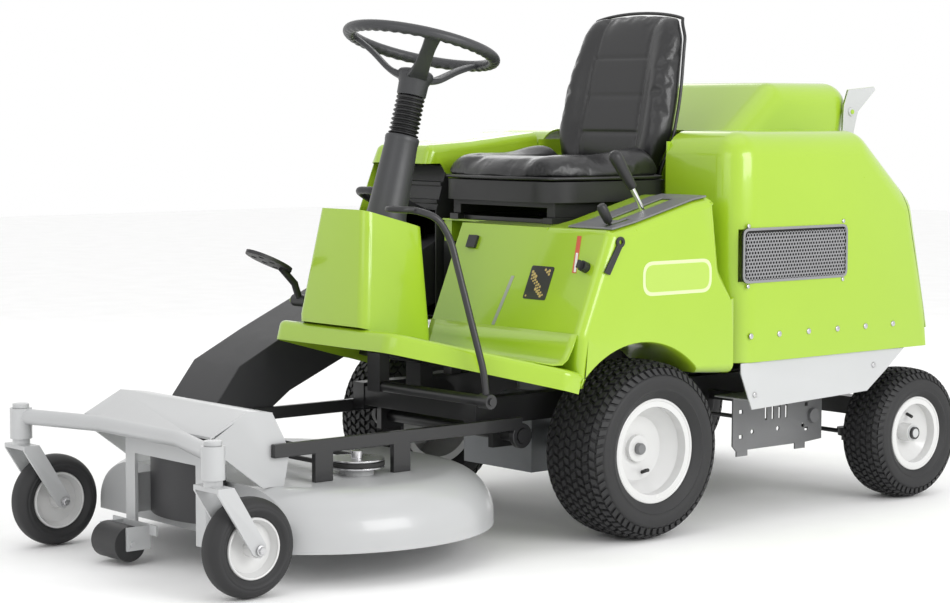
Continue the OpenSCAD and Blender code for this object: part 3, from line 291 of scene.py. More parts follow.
def tube(points, r, seg=16, closed=False, radii=None, squash=1.0):
    """Tube along points (mm, drive axle frame) with round ends closed by caps."""
    p = [Vector(q) for q in points]
    n = len(p)
    verts, faces = [], []
    side = None
    for i in range(n):
        d = (p[(i + 1) % n] - p[i - 1]) if closed else (p[min(i + 1, n - 1)] - p[max(i - 1, 0)])
        d.normalize()
        if side is None:
            side = d.orthogonal().normalized()
        side = (side - d * side.dot(d)).normalized()
        other = d.cross(side)
        rr = radii[i] if radii else r
        for k in range(seg):
            a = 2 * math.pi * k / seg
            q = p[i] + (side * math.cos(a) + other * math.sin(a) * squash) * rr
            verts.append(at(*q))
    for i in range(n if closed else n - 1):
        j = (i + 1) % n
        for k in range(seg):
            m = (k + 1) % seg
            faces.append((i * seg + k, i * seg + m, j * seg + m, j * seg + k))
    if not closed:
        faces.append(tuple(range(seg)))
        faces.append(tuple((n - 1) * seg + k for k in range(seg)))
    return verts, faces


def join(*parts):
    verts, faces = [], []
    for v, f in parts:
        k = len(verts)
        verts += v
        faces += [tuple(i + k for i in g) for g in f]
    return verts, faces


def fillet(points, radii, n=6):
    """2D outline with its corners rounded. A radius of 0 leaves a corner as it is."""
    out = []
    m = len(points)
    for i in range(m):
        p = Vector(points[i])
        a, b = Vector(points[i - 1]) - p, Vector(points[(i + 1) % m]) - p
        r = radii[i] if isinstance(radii, (list, tuple)) else radii
        half = a.angle(b) / 2
        if r <= 0 or abs(math.pi / 2 - half) < 0.02:
            out.append(p)
            continue
        d = min(r / math.tan(half), a.length * 0.49, b.length * 0.49)
        s, e = p + a.normalized() * d, p + b.normalized() * d
        for k in range(n + 1):
            t = k / n
            out.append(s * (1 - t) ** 2 + p * 2 * t * (1 - t) + e * t * t)
    return out


def inset(points, dist):
    """Closed counter-clockwise outline with each edge moved inwards by its own distance."""
    m = len(points)
    lines = []
    for i in range(m):
        p, q = points[i], points[(i + 1) % m]
        d = (q - p).normalized()
        n = Vector((-d.y, d.x))
        lines.append((p + n * dist[i], d))
    out = []
    for i in range(m):
        (p, d), (q, e) = lines[i - 1], lines[i]
        cross = d.x * e.y - d.y * e.x
        middle = (q + (p + d * (points[i] - points[i - 1]).length)) / 2
        reach = 1.6 * max(dist[i - 1], dist[i])
        if abs(cross) < 0.05:
            out.append(middle)
            continue
        t = ((q - p).x * e.y - (q - p).y * e.x) / cross
        corner = p + d * t
        out.append(corner if (corner - points[i]).length <= reach else middle)
    # where a corner is rounder than the offset allows, its points fold back: they become one
    back = [(points[(i + 1) % m] - points[i]).dot(out[(i + 1) % m] - out[i]) < 0 for i in range(m)]
    for i in range(m):
        if back[i] and not back[i - 1]:
            run = [i]
            while back[run[-1]] and len(run) < m:
                run.append((run[-1] + 1) % m)
            mid = (out[run[0]] + out[run[-1]]) / 2
            for k in run:
                out[k] = mid
    return out


def area2(points):
    return sum(points[i - 1].x * p.y - points[i - 1].y * p.x for i, p in enumerate(points)) / 2


def shell(name, outline, w0, w1, place, mat, body, r=20, open_edges=None, radius_of=None,
          stands_for=(), both_ends=False, thick=3.5, angle=40, steps=6):
    """Skin over a 2D outline, swept from w0 to w1, its edge at w1 rounded by r. open_edges(p, q)
    is true for edges that stay open. place(u, v, w) gives the point in mm."""
    pts = [Vector(p) for p in outline]
    if area2(pts) < 0:
        pts.reverse()
    m = len(pts)
    is_open = [bool(open_edges and open_edges(pts[i], pts[(i + 1) % m])) for i in range(m)]
    rad = [0 if is_open[i] else (radius_of(pts[i], pts[(i + 1) % m]) if radius_of else r)
           for i in range(m)]
    sgn = 1 if w1 > w0 else -1
    rings = [(pts, w0)]
    if both_ends:
        rings = []
        for k in range(steps + 1):
            f = math.pi / 2 * (1 - k / steps)
            rings.append((inset(pts, [q * (1 - math.cos(f)) for q in rad]),
                          w0 + sgn * r * (1 - math.sin(f))))
    for k in range(steps + 1):
        f = math.pi / 2 * k / steps
        rings.append((inset(pts, [q * (1 - math.cos(f)) for q in rad]),
                      w1 - sgn * r * (1 - math.sin(f))))
    verts = [at(*place(p.x, p.y, w)) for ring, w in rings for p in ring]
    faces = []
    for j in range(len(rings) - 1):
        for i in range(m):
            if is_open[i]:
                continue
            k = (i + 1) % m
            faces.append((j * m + i, j * m + k, (j + 1) * m + k, (j + 1) * m + i))
    # the ends are filled from their outlines, which may cross themselves at a tight corner
    for ring, w in (rings[-1:] + rings[:1] if both_ends else rings[-1:]):
        flat, _, tris, _, _, _ = delaunay_2d_cdt([Vector((p.x, p.y)) for p in ring], [],
                                                 [list(range(m))], 1, 1e-4)
        n0 = len(verts)
        verts += [at(*place(p.x, p.y, w)) for p in flat]
        faces += [tuple(n0 + k for k in tri) for tri in tris]
    places = {}
    index = [places.setdefault(tuple(round(c, 5) for c in v), len(places)) for v in verts]
    welded = []
    for face in faces:
        ids = [index[k] for k in face]
        ids = [k for n, k in enumerate(ids) if k != ids[n - 1]]
        if len(set(ids)) > 2:
            welded.append(tuple(ids))
    ob = piece(name, [Vector(v) for v in places], welded, mat, body, stands_for, angle)
    if thick:
        mod = ob.modifiers.new("wall", "SOLIDIFY")
        mod.thickness = thick / 1000
        mod.offset = -1
    mod = ob.modifiers.new("normals", "WEIGHTED_NORMAL")
    mod.keep_sharp = True
    return ob


def side_place(u, v, w):
    return (w, u, v)


def hexagon(centre, normal, across, height):
    """Flanged hexagon bolt head."""
    n = Vector(normal).normalized()
    u, w = basis(n)
    c = Vector(centre)
    verts, faces = [], []
    rings = [(across * 0.62, 0, 24), (across * 0.62, height * 0.22, 24),
             (across * 0.5, height * 0.3, 24), (across * 0.5, height * 0.3, 6),
             (across * 0.5, height * 0.85, 6),
             (across * 0.42, height, 6)]
    start = []
    for r, h, seg in rings:
        start.append((len(verts), seg))
        for k in range(seg):
            a = 2 * math.pi * k / seg
            q = c + n * h + (u * math.cos(a) + w * math.sin(a)) * r
            verts.append(at(*q))
    for j in range(len(rings) - 1):
        (s, a), (t, b) = start[j], start[j + 1]
        if a == b:
            faces += [(s + k, s + (k + 1) % a, t + (k + 1) % a, t + k) for k in range(a)]
    faces.append(tuple(start[2][0] + k for k in range(24)))
    faces.append(tuple(start[-1][0] + k for k in range(6)))
    return verts, faces


def dome(centre, normal, r, h, seg=20):
    n = Vector(normal).normalized()
    prof = [(r, 0), (r, h * 0.25), (r * 0.9, h * 0.6), (r * 0.6, h * 0.9), (0, h)]
    return revolve(prof, centre, n, seg)


def finish_cad():
    """CAD nodes that stay get welded, softened edges and smooth shading through modifiers."""
    wide = {"front_beam": 2.0, "caster_fork_left": 1.5, "caster_fork_right": 1.5, "duct_head": 3,
            "grass_duct": 3, "front_arch": 1.5, "deck_frame": 2.0, "chassis_frame": 2.5,
            "seat_box": 3, "control_plate": 2, "side_plates": 0.8, "skirt_plates": 1.2,
            "platform": 5, "hood": 1.2, "rear_door": 1.2, "console": 2}
    for n, ob in nodes.items():
        me = ob.data
        for attr in ("custom_normal",):
            if attr in me.attributes:
                me.attributes.remove(me.attributes[attr])
        me.polygons.foreach_set("use_smooth", [True] * len(me.polygons))
        weld = ob.modifiers.new("weld", "WELD")
        weld.merge_threshold = 2e-5
        flat = ob.modifiers.new("flat", "DECIMATE")
        flat.decimate_type = "DISSOLVE"
        flat.angle_limit = math.radians(0.6)
        bev = ob.modifiers.new("edges", "BEVEL")
        bev.width = wide.get(n, 1.0) / 1000
        bev.segments = 2
        bev.limit_method = "ANGLE"
        bev.angle_limit = math.radians(36)
        bev.harden_normals = True
        me.materials.clear()
        me.materials.append(MATS[slot_of[n]])


make_camera()
make_stage()
finish_cad()


# ---------- wheels ----------

def tread_tyre(name, side, x, y, z, R, bead, width, body, node, rows, around, depth=6.5):
    """Turf tyre: revolved carcass and a skin of separate tread blocks in a herringbone."""
    hw, q = width / 2, R - bead
    half = [(bead + 1, -0.72 * hw), (bead + 9, -0.78 * hw), (bead + 15, -0.80 * hw),
            (bead + 18, -0.84 * hw), (bead + 0.30 * q, -0.93 * hw), (bead + 0.36 * q, -0.975 * hw),
            (bead + 0.40 * q, -0.965 * hw), (bead + 0.52 * q, -0.995 * hw),
            (bead + 0.64 * q, -0.99 * hw), (R - 0.25 * q, -0.955 * hw), (R - 0.16 * q, -0.90 * hw),
            (R - 0.09 * q, -0.81 * hw), (R - 0.045 * q, -0.68 * hw), (R - 0.02 * q, -0.5 * hw),
            (R - 0.006 * q, -0.28 * hw), (R, -0.08 * hw)]
    line = [tuple(p) for p in smooth_line(half + [(r, -o) for r, o in reversed(half)], 4)]
    P = np.array(line)
    d = np.gradient(P, axis=0)
    d /= np.linalg.norm(d, axis=1)[:, None]
    inward = np.stack([-d[:, 1], d[:, 0]], 1)
    inward *= np.sign(((np.array([bead, 0]) - P) * inward).sum(1))[:, None]
    s = np.concatenate([[0], np.cumsum(np.linalg.norm(np.diff(P, axis=0), axis=1))])
    top = P[:, 0] > bead + 0.66 * q
    lower = np.clip((P[:, 0] - (bead + 0.66 * q)) / (0.12 * q), 0, 1) * depth
    base = P + inward * lower[:, None]
    verts, faces = revolve([tuple(p) for p in base], (x, y, z), (side, 0, 0), 128)
    ends = s[top]
    s0, s1 = ends[0] + 3, ends[-1] - 3
    pitch = (s1 - s0) / rows

    def surf(sv, th, dn):
        o = np.array([np.interp(sv, s, P[:, i]) for i in (0, 1)])
        n = np.array([np.interp(sv, s, inward[:, i]) for i in (0, 1)])
        r, off = o + n * dn
        return at(x + side * off, y + r * math.cos(th), z + r * math.sin(th))

    for j in range(rows):
        c = s0 + (j + 0.5) * pitch
        slant = 0.42 * (1 if (j % 2) else -1)
        grow = 1.0 if 0 < j < rows - 1 else 1.25
        for k in range(around):
            th = 2 * math.pi * (k + 0.5 * (j % 2)) / around
            n0 = len(verts)
            for dn, f in ((depth + 1, 1.0), (0.0, 0.86)):
                for a, b in ((-1, -1), (1, -1), (1, 1), (-1, 1)):
                    hs, ht = pitch * 0.40 * f * grow, 2 * math.pi / around * 0.35 * f
                    verts.append(surf(min(max(c + a * hs, s0 - 4), s1 + 4),
                                      th + b * ht + slant * a * hs / R, dn))
            f4 = [n0, n0 + 1, n0 + 2, n0 + 3]
            faces += [(n0 + 4, n0 + 5, n0 + 6, n0 + 7)]
            faces += [(f4[i], f4[(i + 1) % 4], f4[(i + 1) % 4] + 4, f4[i] + 4) for i in range(4)]
    return piece(name, verts, faces, MATS["tyre_black"], body, (node,), 30)


def ring_tube(x, y, z, R, r, side, off, seg=72):
    pts = [(x + side * off, y + R * math.cos(2 * math.pi * k / seg),
            z + R * math.sin(2 * math.pi * k / seg)) for k in range(seg)]
    return tube(pts, r, 12, closed=True)


def make_wheels():
    for side, n in ((1, "left"), (-1, "right")):
        tread_tyre("front_turf_tyre_" + n, side, side * 372, 0, 200, 200, 101.5, 180,
                   "front_wheel_" + n, "front_tyre_" + n, 11, 58)
        tread_tyre("rear_turf_tyre_" + n, side, side * 398, 902, 160, 160, 76, 125,
                   "rear_wheel_" + n, "rear_tyre_" + n, 9, 52, 5.5)
        # rolled edges, hub caps and valves on the rims
        b = "front_wheel_" + n
        x = side * 372
        v, f = ring_tube(x, 0, 200, 114.5, 3.6, side, 70.5)
        piece("front_rim_roll_" + n, v, f, MATS["rim_white"], b)
        v, f = revolve([(13, 20), (13, 31), (11, 34), (0, 35)], (x, 0, 200), (side, 0, 0), 32)
        piece("front_hub_cap_" + n, v, f, MATS["plate_grey"], b)
        v, f = tube([(x + side * 8, 20, 142), (x + side * 30, 16, 150), (x + side * 38, 14, 152)],
                    4.2, 14)
        piece("front_valve_" + n, v, f, MATS["belt_rubber"], b)
        b = "rear_wheel_" + n
        x = side * 398
        v, f = ring_tube(x, 902, 160, 88, 3.2, side, 50)
        piece("rear_rim_roll_" + n, v, f, MATS["rim_white"], b)
        v, f = revolve([(20, 42), (20, 44), (12, 44), (12, 50), (10, 52), (0, 52)],
                       (x, 902, 160), (side, 0, 0), 32)
        piece("rear_hub_cap_" + n, v, f, MATS["light_grey"], b)
        v, f = tube([(x + side * 8, 914, 205), (x + side * 26, 911, 200),
                     (x + side * 32, 910, 198)],
                    4, 14)
        piece("rear_valve_" + n, v, f, MATS["belt_rubber"], b)
        # smooth caster tyre with two rings on its side wall
        x, y = side * 368, -1042
        half = [(63, -21), (68, -24), (72, -27.5), (76, -29.6), (79, -29.4), (81, -28.6),
                (84, -28.8), (88, -27.6), (93, -23), (97.5, -16), (99.5, -9), (100, 0)]
        line = smooth_line(half + [(r, -o) for r, o in reversed(half[:-1])], 3)
        v, f = revolve([tuple(p) for p in line], (x, y, 100), (1, 0, 0), 96)
        piece("caster_smooth_tyre_" + n, v, f, MATS["tyre_black"], "caster_wheel_" + n,
              ("caster_tyre_" + n,), 60)
        for s in (1, -1):
            v, f = ring_tube(x, y, 100, 59, 2.6, s, 21.5, 48)
            piece("caster_roll_%s_%s" % (n, "a" if s > 0 else "b"), v, f, MATS["rim_white"],
                  "caster_wheel_" + n)
            hv, hf = hexagon((x + s * 46, y, 100), (s, 0, 0), 17, 9)
            piece("caster_nut_%s_%s" % (n, "a" if s > 0 else "b"), hv, hf, MATS["bare_steel"],
                  "caster_" + n)


# ---------- steering ----------

TILT = math.radians(15)
COL = Vector((0, -409, 703))
AX = Vector((0, math.sin(TILT), math.cos(TILT)))
VX = Vector((0, math.cos(TILT), -math.sin(TILT)))


def col(x, v, h):
    return COL + Vector((1, 0, 0)) * x + VX * v + AX * h


def col_turn(profile, seg=72):
    return revolve(profile, tuple(COL), AX, seg)


def make_steering():
    v, f = col_turn([(50, 2), (49, 6), (45.5, 14), (44, 26), (40, 120), (37.5, 178), (38.5, 184),
                     (39, 192), (37, 196), (26, 196.5)])
    piece("column_sleeve", v, f, grey_plastic, "chassis", ("column_cover",), 40)
    prof = [(28, 196)]
    pitch = 92 / 9
    for i in range(9):
        h = 196 + i * pitch
        prof += [(27.5, h + 0.6), (31, h + pitch * 0.26), (34.5 - i * 0.25, h + pitch * 0.5),
                 (31, h + pitch * 0.76)]
    prof += [(27.5, 287.5), (22, 288)]
    line = smooth_line(prof, 3)
    v, f = col_turn([tuple(p) for p in line], 64)
    piece("column_bellows", v, f, MATS["black_plastic"], "chassis",
          ("column_boot",), 0)
    # wheel rim with finger grips along its underside
    R, h0, n, seg = 166, 405.5, 264, 22
    verts, faces = [], []
    for i in range(n):
        th = 2 * math.pi * i / n
        for k in range(seg):
            a = 2 * math.pi * k / seg
            under = max(0.0, -math.sin(a) * 0.8 - math.cos(a) * 0.35)
            r = 14 - 2.4 * under * (0.5 + 0.5 * math.cos(44 * th))
            q = (R + r * math.cos(a))
            verts.append(at(*col(q * math.cos(th), q * math.sin(th), h0 + r * math.sin(a) * 0.92)))
    for i in range(n):
        j = (i + 1) % n
        faces += [(i * seg + k, i * seg + (k + 1) % seg, j * seg + (k + 1) % seg, j * seg + k)
                  for k in range(seg)]
    # three broad spokes that dish down to the hub
    for deg in (90, 210, 330):
        c, s = math.cos(math.radians(deg)), math.sin(math.radians(deg))
        path = smooth_line([(12, 332, 25, 9), (34, 333, 24, 9), (66, 345, 19, 8),
                            (112, 377, 16, 7.5), (150, 399, 18, 7), (163, 404, 20, 6)], 5)
        n0 = len(verts)
        for r, h, w, t in path:
            for a in range(12):
                u = 2 * math.pi * a / 12
                pu = math.copysign(abs(math.cos(u)) ** 0.5, math.cos(u)) * w
                pt = math.copysign(abs(math.sin(u)) ** 0.5, math.sin(u)) * t
                verts.append(at(*col(c * r - s * pu, s * r + c * pu, h + pt)))
        for i in range(len(path) - 1):
            faces += [(n0 + i * 12 + k, n0 + i * 12 + (k + 1) % 12,
                       n0 + (i + 1) * 12 + (k + 1) % 12,
                       n0 + (i + 1) * 12 + k) for k in range(12)]
    n0 = len(verts)
    hv, hf = col_turn([(9, 258), (9, 289), (31, 289), (33, 292), (34, 318), (38, 326), (41, 334),
                       (40, 343), (36, 347), (30, 348), (28, 346.5), (0, 346)], 64)
    verts += hv
    faces += [tuple(i + n0 for i in g) for g in hf]
    piece("wheel_with_grips", verts, faces, grey_plastic, "steering_wheel_body",
          ("steering_wheel",), 50)


# ---------- seat ----------

def step01(x, a, b):
    t = min(max((x - a) / (b - a), 0), 1)
    return t * t * (3 - 2 * t)


def grid_body(nu, nv, top, bottom):
    """Closed form from two sheets over u, v in -1..1 that meet along their rims."""
    us = [math.sin(math.pi / 2 * (2 * i / nu - 1)) for i in range(nu + 1)]
    vs = [math.sin(math.pi / 2 * (2 * j / nv - 1)) for j in range(nv + 1)]
    verts, faces, k = [], [], nv + 1
    for fn in (top, bottom):
        for u in us:
            for v in vs:
                verts.append(at(*fn(u, v)))
    off = (nu + 1) * (nv + 1)
    for i in range(nu):
        for j in range(nv):
            a = i * k + j
            faces.append((a, a + k, a + k + 1, a + 1))
            faces.append((off + a, off + a + 1, off + a + k + 1, off + a + k))
    for i in range(nu):
        for j, flip in ((0, False), (nv, True)):
            a = i * k + j
            g = (a, off + a, off + a + k, a + k)
            faces.append(g[::-1] if flip else g)
    for j in range(nv):
        for i, flip in ((0, True), (nu, False)):
            a = i * k + j
            g = (a, off + a, off + a + 1, a + 1)
            faces.append(g[::-1] if flip else g)
    return verts, faces


def evaluated(ob):
    dg = bpy.context.evaluated_depsgraph_get()
    return bpy.data.meshes.new_from_object(ob.evaluated_get(dg))


def stuff(name, verts, faces, pinned, shape_after, body, node, cap=0.007, voxel=0.006):
    """Padded piece: remeshed, blown up with cloth, capped, then its seams pressed in."""
    me = bpy.data.meshes.new(name + "_form")
    me.from_pydata([tuple(v) for v in verts], [], faces)
    bm = bmesh.new()
    bm.from_mesh(me)
    bmesh.ops.remove_doubles(bm, verts=bm.verts, dist=1e-5)
    bmesh.ops.recalc_face_normals(bm, faces=bm.faces)
    bm.to_mesh(me)
    bm.free()
    form = bpy.data.objects.new(name + "_form", me)
    bpy.context.collection.objects.link(form)
    rm = form.modifiers.new("remesh", "REMESH")
    rm.mode = "VOXEL"
    rm.voxel_size = voxel
    base = evaluated(form)
    bpy.data.objects.remove(form)
    ob = bpy.data.objects.new(name, base)
    bpy.context.collection.objects.link(ob)
    n = len(base.vertices)
    rest = np.zeros(n * 3)
    base.vertices.foreach_get("co", rest)
    rest = rest.reshape(-1, 3)
    group = ob.vertex_groups.new(name="pin")
    group.add([i for i in range(n) if pinned(rest[i])], 1.0, "ADD")
    cloth = ob.modifiers.new("cloth", "CLOTH")
    cs = cloth.settings
    cs.quality = 5
    cs.mass = 0.3
    cs.tension_stiffness = cs.compression_stiffness = 25
    cs.bending_stiffness = 4
    cs.use_pressure = True
    cs.uniform_pressure_force = 4
    cs.vertex_group_mass = "pin"
    cs.effector_weights.gravity = 0
    scene = bpy.context.scene
    for fr in range(1, 21):
        scene.frame_set(fr)
    blown = evaluated(ob)
    co = np.zeros(n * 3)
    blown.vertices.foreach_get("co", co)
    move = co.reshape(-1, 3) - rest
    far = np.linalg.norm(move, axis=1)
    move *= np.minimum(1, cap / np.maximum(far, 1e-9))[:, None]
    rest = rest + move
    ob.modifiers.remove(cloth)
    scene.frame_set(1)
    bpy.data.meshes.remove(blown)
    base.vertices.foreach_set("co", rest.ravel())
    base.update()
    nor = np.zeros(n * 3)
    base.vertices.foreach_get("normal", nor)
    rest = rest + nor.reshape(-1, 3) * np.array([shape_after(p) for p in rest])[:, None]
    base.vertices.foreach_set("co", rest.ravel())
    base.polygons.foreach_set("use_smooth", [True] * len(base.polygons))
    base.update()
    sub = ob.modifiers.new("smooth", "SUBSURF")
    sub.levels = sub.render_levels = 1
    base.materials.clear()
    base.materials.append(MATS["vinyl_black"])
    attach(ob, body)
    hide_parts(node)
    return ob


BACK = Vector((0, 234, 810))
LEAN = math.radians(13)


def back_at(x, y, z):
    return BACK + Vector((x, y * math.cos(LEAN) + z * math.sin(LEAN),
                          -y * math.sin(LEAN) + z * math.cos(LEAN)))


def groove(d, width=3.4):
    return math.exp(-(d / width) ** 2)


def cushion_plan(u, v):
    k = 1 - 0.13 * v * v * (1.2 if v < 0 else 0.5)
    x = 216 * u * k
    y = 78 + 178 * v * (1 - 0.10 * u * u * (1.4 if v < 0 else 0.3))
    return x, y


def make_seat():
    def rim(u, v, p=7):
        return ((1 - abs(u) ** p) * (1 - abs(v) ** p)) ** 0.42

    def top(u, v):
        x, y = cushion_plan(u, v)
        side = step01(abs(u), 0.42, 0.80)
        h = 30 + 16 * side + 26 * side * step01(v, -0.1, 1.0) + \
            10 * (1 - abs(v + 0.55)) * (1 - side)
        h -= 6 * step01(v, 0.0, 0.8) * (1 - side)
        return x, y, 800 + h * rim(u, v)

    def bottom(u, v):
        x, y = cushion_plan(u, v)
        return x, y, 800 - 9.5 * rim(u, v, 12)

    def press(p):
        x, y, z = p[0] * 1000, p[1] * 1000 - SHIFT, p[2] * 1000
        if z < 812:
            return 0.0
        d = 0.0
        d += 3.2 * groove(abs(x) - 116) * step01(y, -60, -30)
        for ys in (70, 160):
            d += 3.0 * groove(y - ys) * (1 if abs(x) < 116 else 0)
        d += 3.0 * groove(y + 30, 3.6) * (1 if abs(x) < 116 else 0)
        return -d / 1000

    v, f = grid_body(40, 36, top, bottom)
    stuff("seat_cushion_vinyl", v, f, lambda p: p[2] < 0.7925, press, "seat", "seat_cushion")

    def half_w(t):
        # half width of the backrest at height t, 0..1
        return 158 + 24 * step01(t, 0.0, 0.28) - 20 * step01(t, 0.42, 1.0)

    def btop(u, v):
        t = (v + 1) / 2
        z = 2 + 396 * t - 16 * u * u * t
        x = half_w(t) * u * (1 - 0.10 * step01(t, 0.86, 1.0) * u * u)
        side = step01(abs(u), 0.50, 0.86)
        y = 34 - 26 * side * (1 - 0.55 * step01(t, 0.45, 1.0)) - 6 * math.sin(math.pi * t)
        y = 58 + (y - 58) * rim(u, v, 6)
        return tuple(back_at(x, y, z))

    def bback(u, v):
        t = (v + 1) / 2
        z = 2 + 396 * t - 16 * u * u * t
        x = half_w(t) * u * (1 - 0.10 * step01(t, 0.86, 1.0) * u * u)
        y = 58 + 27 * rim(u, v, 5)
        return tuple(back_at(x, y, z))

    def local(p):
        q = Vector((p[0] * 1000, p[1] * 1000 - SHIFT, p[2] * 1000)) - BACK
        return (q.x, q.y * math.cos(LEAN) - q.z * math.sin(LEAN),
                q.y * math.sin(LEAN) + q.z * math.cos(LEAN))

    def press_back(p):
        x, y, z = local(p)
        if y > 52:
            return 0.0
        t = z / 398
        edge = 100 - 14 * t
        d = 3.6 * groove(abs(x) - edge)
        for zs in (96, 186, 280):
            d += 4.2 * groove(z - zs, 3.6) * (1 if abs(x) < edge else 0)
        return -d / 1000

    v, f = grid_body(36, 40, btop, bback)
    stuff("seat_backrest_vinyl", v, f, lambda p: local(p)[1] > 82, press_back, "seat",
          "seat_backrest")

    def loop(fn, n=44):
        pts = []
        for k in range(n):
            pts.append(fn(-1 + 2 * k / n, -1))
        for k in range(n):
            pts.append(fn(1, -1 + 2 * k / n))
        for k in range(n):
            pts.append(fn(1 - 2 * k / n, 1))
        for k in range(n):
            pts.append(fn(-1, 1 - 2 * k / n))
        return pts

    v, f = tube(loop(lambda u, v: (cushion_plan(u, v)[0] * 1.012,
                                   78 + (cushion_plan(u, v)[1] - 78) * 1.012, 797)), 4, 12, True)
    piece("cushion_piping", v, f, MATS["vinyl_black"], "seat", (), 0)

    def back_rim(u, v):
        x, _, z = local(at(*btop(u, v)))
        return tuple(back_at(x * 1.012, 60, 200 + (z - 200) * 1.01))

    v, f = tube(loop(back_rim), 4, 12, True)
    piece("backrest_piping", v, f, MATS["vinyl_black"], "seat", (), 0)


# ---------- bodywork ----------

def make_body():
    green = MATS["body_green"]
    arch = [(ARCH_Y + ARCH_R * math.cos(a), ARCH_Z + ARCH_R * math.sin(a)) for a in
            np.linspace(math.radians(139.2), math.radians(40.6), 40)]
    top = fillet([(-232, 356), (-232, 470), (-140, 692), (-62, 707), (117, 752), (167, 759),
                  (182, 752), (204, 596), (243, 527), (244, 356)],
                 [0, 40, 22, 60, 60, 10, 8, 30, 10, 0])
    # outline runs up the front, along the top, down the back and round the arch
    outline = [(p[0], p[1]) for p in top] + [tuple(p) for p in reversed(arch)][1:-1]

    def fender_open(p, q):
        return (p.y < 530 and q.y < 530 and p.x > 180 and q.x > 180) or \
            (abs(p.y - 356) < 3 and abs(q.y - 356) < 3)

    def on_arch(p):
        return abs(math.hypot(p.x - ARCH_Y, p.y - ARCH_Z) - ARCH_R) < 1.5

    shell("fender_left_skin", outline, 243, 450, side_place, green, "chassis", r=24,
          open_edges=fender_open, radius_of=lambda p, q: 5 if on_arch(p) and on_arch(q) else 24,
          stands_for=("fender_left",))
    # right fender with the cowl over the duct head
    cowl = fillet([(-232, 356), (-232, 470), (-140, 692), (-105, 824), (-92, 868), (44, 876),
                   (214, 893), (250, 897), (250, 527), (250, 356)],
                  [0, 40, 40, 30, 22, 200, 60, 0, 0, 0])
    outline = [(p[0], p[1]) for p in cowl] + [tuple(p) for p in reversed(arch)][1:-1]

    def cowl_open(p, q):
        return (p.x > 240 and q.x > 240) or (p.x < -90 and q.x < -90 and p.y < 826 and q.y < 826
                                             and not (on_arch(p) and on_arch(q))) \
            or (abs(p.y - 356) < 3 and abs(q.y - 356) < 3)

    shell("fender_right_skin", outline, -300, -450, side_place, green, "chassis",
          r=34, open_edges=cowl_open,
          radius_of=lambda p, q: 5 if on_arch(p) and on_arch(q) else 34,
          stands_for=("fender_right",))
    inner = fillet([(-105, 824), (-92, 868), (44, 876), (214, 893), (250, 897), (250, 676),
                    (40, 676), (-60, 824)], [0, 22, 200, 60, 0, 0, 0, 0])
    shell("fender_right_inner", [(p[0], p[1]) for p in inner], -301, -225.6, side_place, green,
          "chassis", r=20,
          open_edges=lambda p, q: (p.x > 240 and q.x > 240) or (p.y < 826 and q.y < 826))
    # platform
    sl = math.radians(15.3)

    def plat(u, v, w):
        return (u, -570 + v * math.cos(sl) + w * math.sin(sl),
                437 - v * math.sin(sl) + w * math.cos(sl))

    plan = fillet([(-210, 0), (210, 0), (450, 308), (450, 346), (-210, 346)], [34, 60, 40, 0, 0])
    shell("platform_skin", [tuple(p) for p in plan], 0, 46, plat, green, "chassis",
          r=13, open_edges=lambda p, q: p.y > 340 and q.y > 340, stands_for=("platform",))


# ---------- controls ----------

def rod(name, pts, r, bend, mat, body, stands_for=(), extra=(), seg=20):
    parts = [tube(bend_line(pts, bend), r, seg)]
    parts += list(extra)
    v, f = join(*parts)
    return piece(name, v, f, mat, body, stands_for, 40)


def make_controls():
    rod("lift_pedal_rod", [(369, -428, 350), (366, -432, 400), (306, -474, 680), (296, -500, 726),
                           (268, -536, 742), (205, -548, 742)], 7.5, 26, MATS["black_frame"],
        "lift_pedal_body", ("lift_pedal",),
        extra=[revolve([(8.1, 352), (15, 352), (16, 353), (16, 385), (15, 386), (8.1, 386),
                        (8.1, 352)], (0, -428, 338), (1, 0, 0), 40)])
    v, f = tube(smooth_line([(205, -548, 744), (214, -570, 744), (236, -582, 744),
                             (262, -570, 744), (268, -545, 744)], 6), 6, 14)
    piece("lift_pedal_loop", v, f, MATS["black_plastic"], "lift_pedal_body")
    rod("duct_handle_rod", [(-390, -60, 700), (-390, -160, 742), (-366, -205, 760),
                            (-294, -205, 760), (-270, -160, 742), (-270, -60, 700)], 9, 30,
        MATS["black_plastic"], "chassis", ("duct_handle",))
    # lift lever: bent chrome rod with a tapered grip
    path = bend_line([(372, 70, 640), (371, 44, 706), (366, 10, 768), (357, -48, 858)], 30)
    v, f = tube(path, 6, 18)
    bv, bf = revolve([(8.1, -6), (17, -6), (18, -5), (18, 5), (17, 6), (8.1, 6), (8.1, -6)],
                     (372, 70, 640), (1, 0, 0), 40)
    v, f = join((v, f), (bv, bf))
    piece("lift_lever_rod", v, f, chrome, "lift_lever_body", ("lift_lever",))
    a, b = Vector((367, 2, 780)), Vector((357, -50, 860))
    d = (b - a).normalized()
    v, f = revolve([(7, 0), (10, 1), (11, 4), (12, 20), (13.5, 50), (15, 76), (15, 86), (12, 93),
                    (7, 97), (0, 98)], tuple(a), d, 32)
    piece("lift_lever_grip", v, f, MATS["black_plastic"], "lift_lever_body")
    a, b = Vector((404, -76, 664)), Vector((400, -128, 748))
    d = (b - a).normalized()
    v, f = revolve([(4, 0), (4, 52), (8, 53), (10, 58), (11.5, 80), (11.5, 92), (8, 98), (0, 100)],
                   tuple(a), d, 28)
    bv, bf = revolve([(6.1, -4), (13, -4), (14, -3), (14, 3), (13, 4), (6.1, 4), (6.1, -4)],
                     (404, -74, 662), (1, 0, 0), 32)
    v, f = join((v, f), (bv, bf))
    piece("throttle_rod", v, f, MATS["black_plastic"], "throttle_lever_body",
          ("throttle_lever",))


# ---------- grille, bolts and blank decals ----------

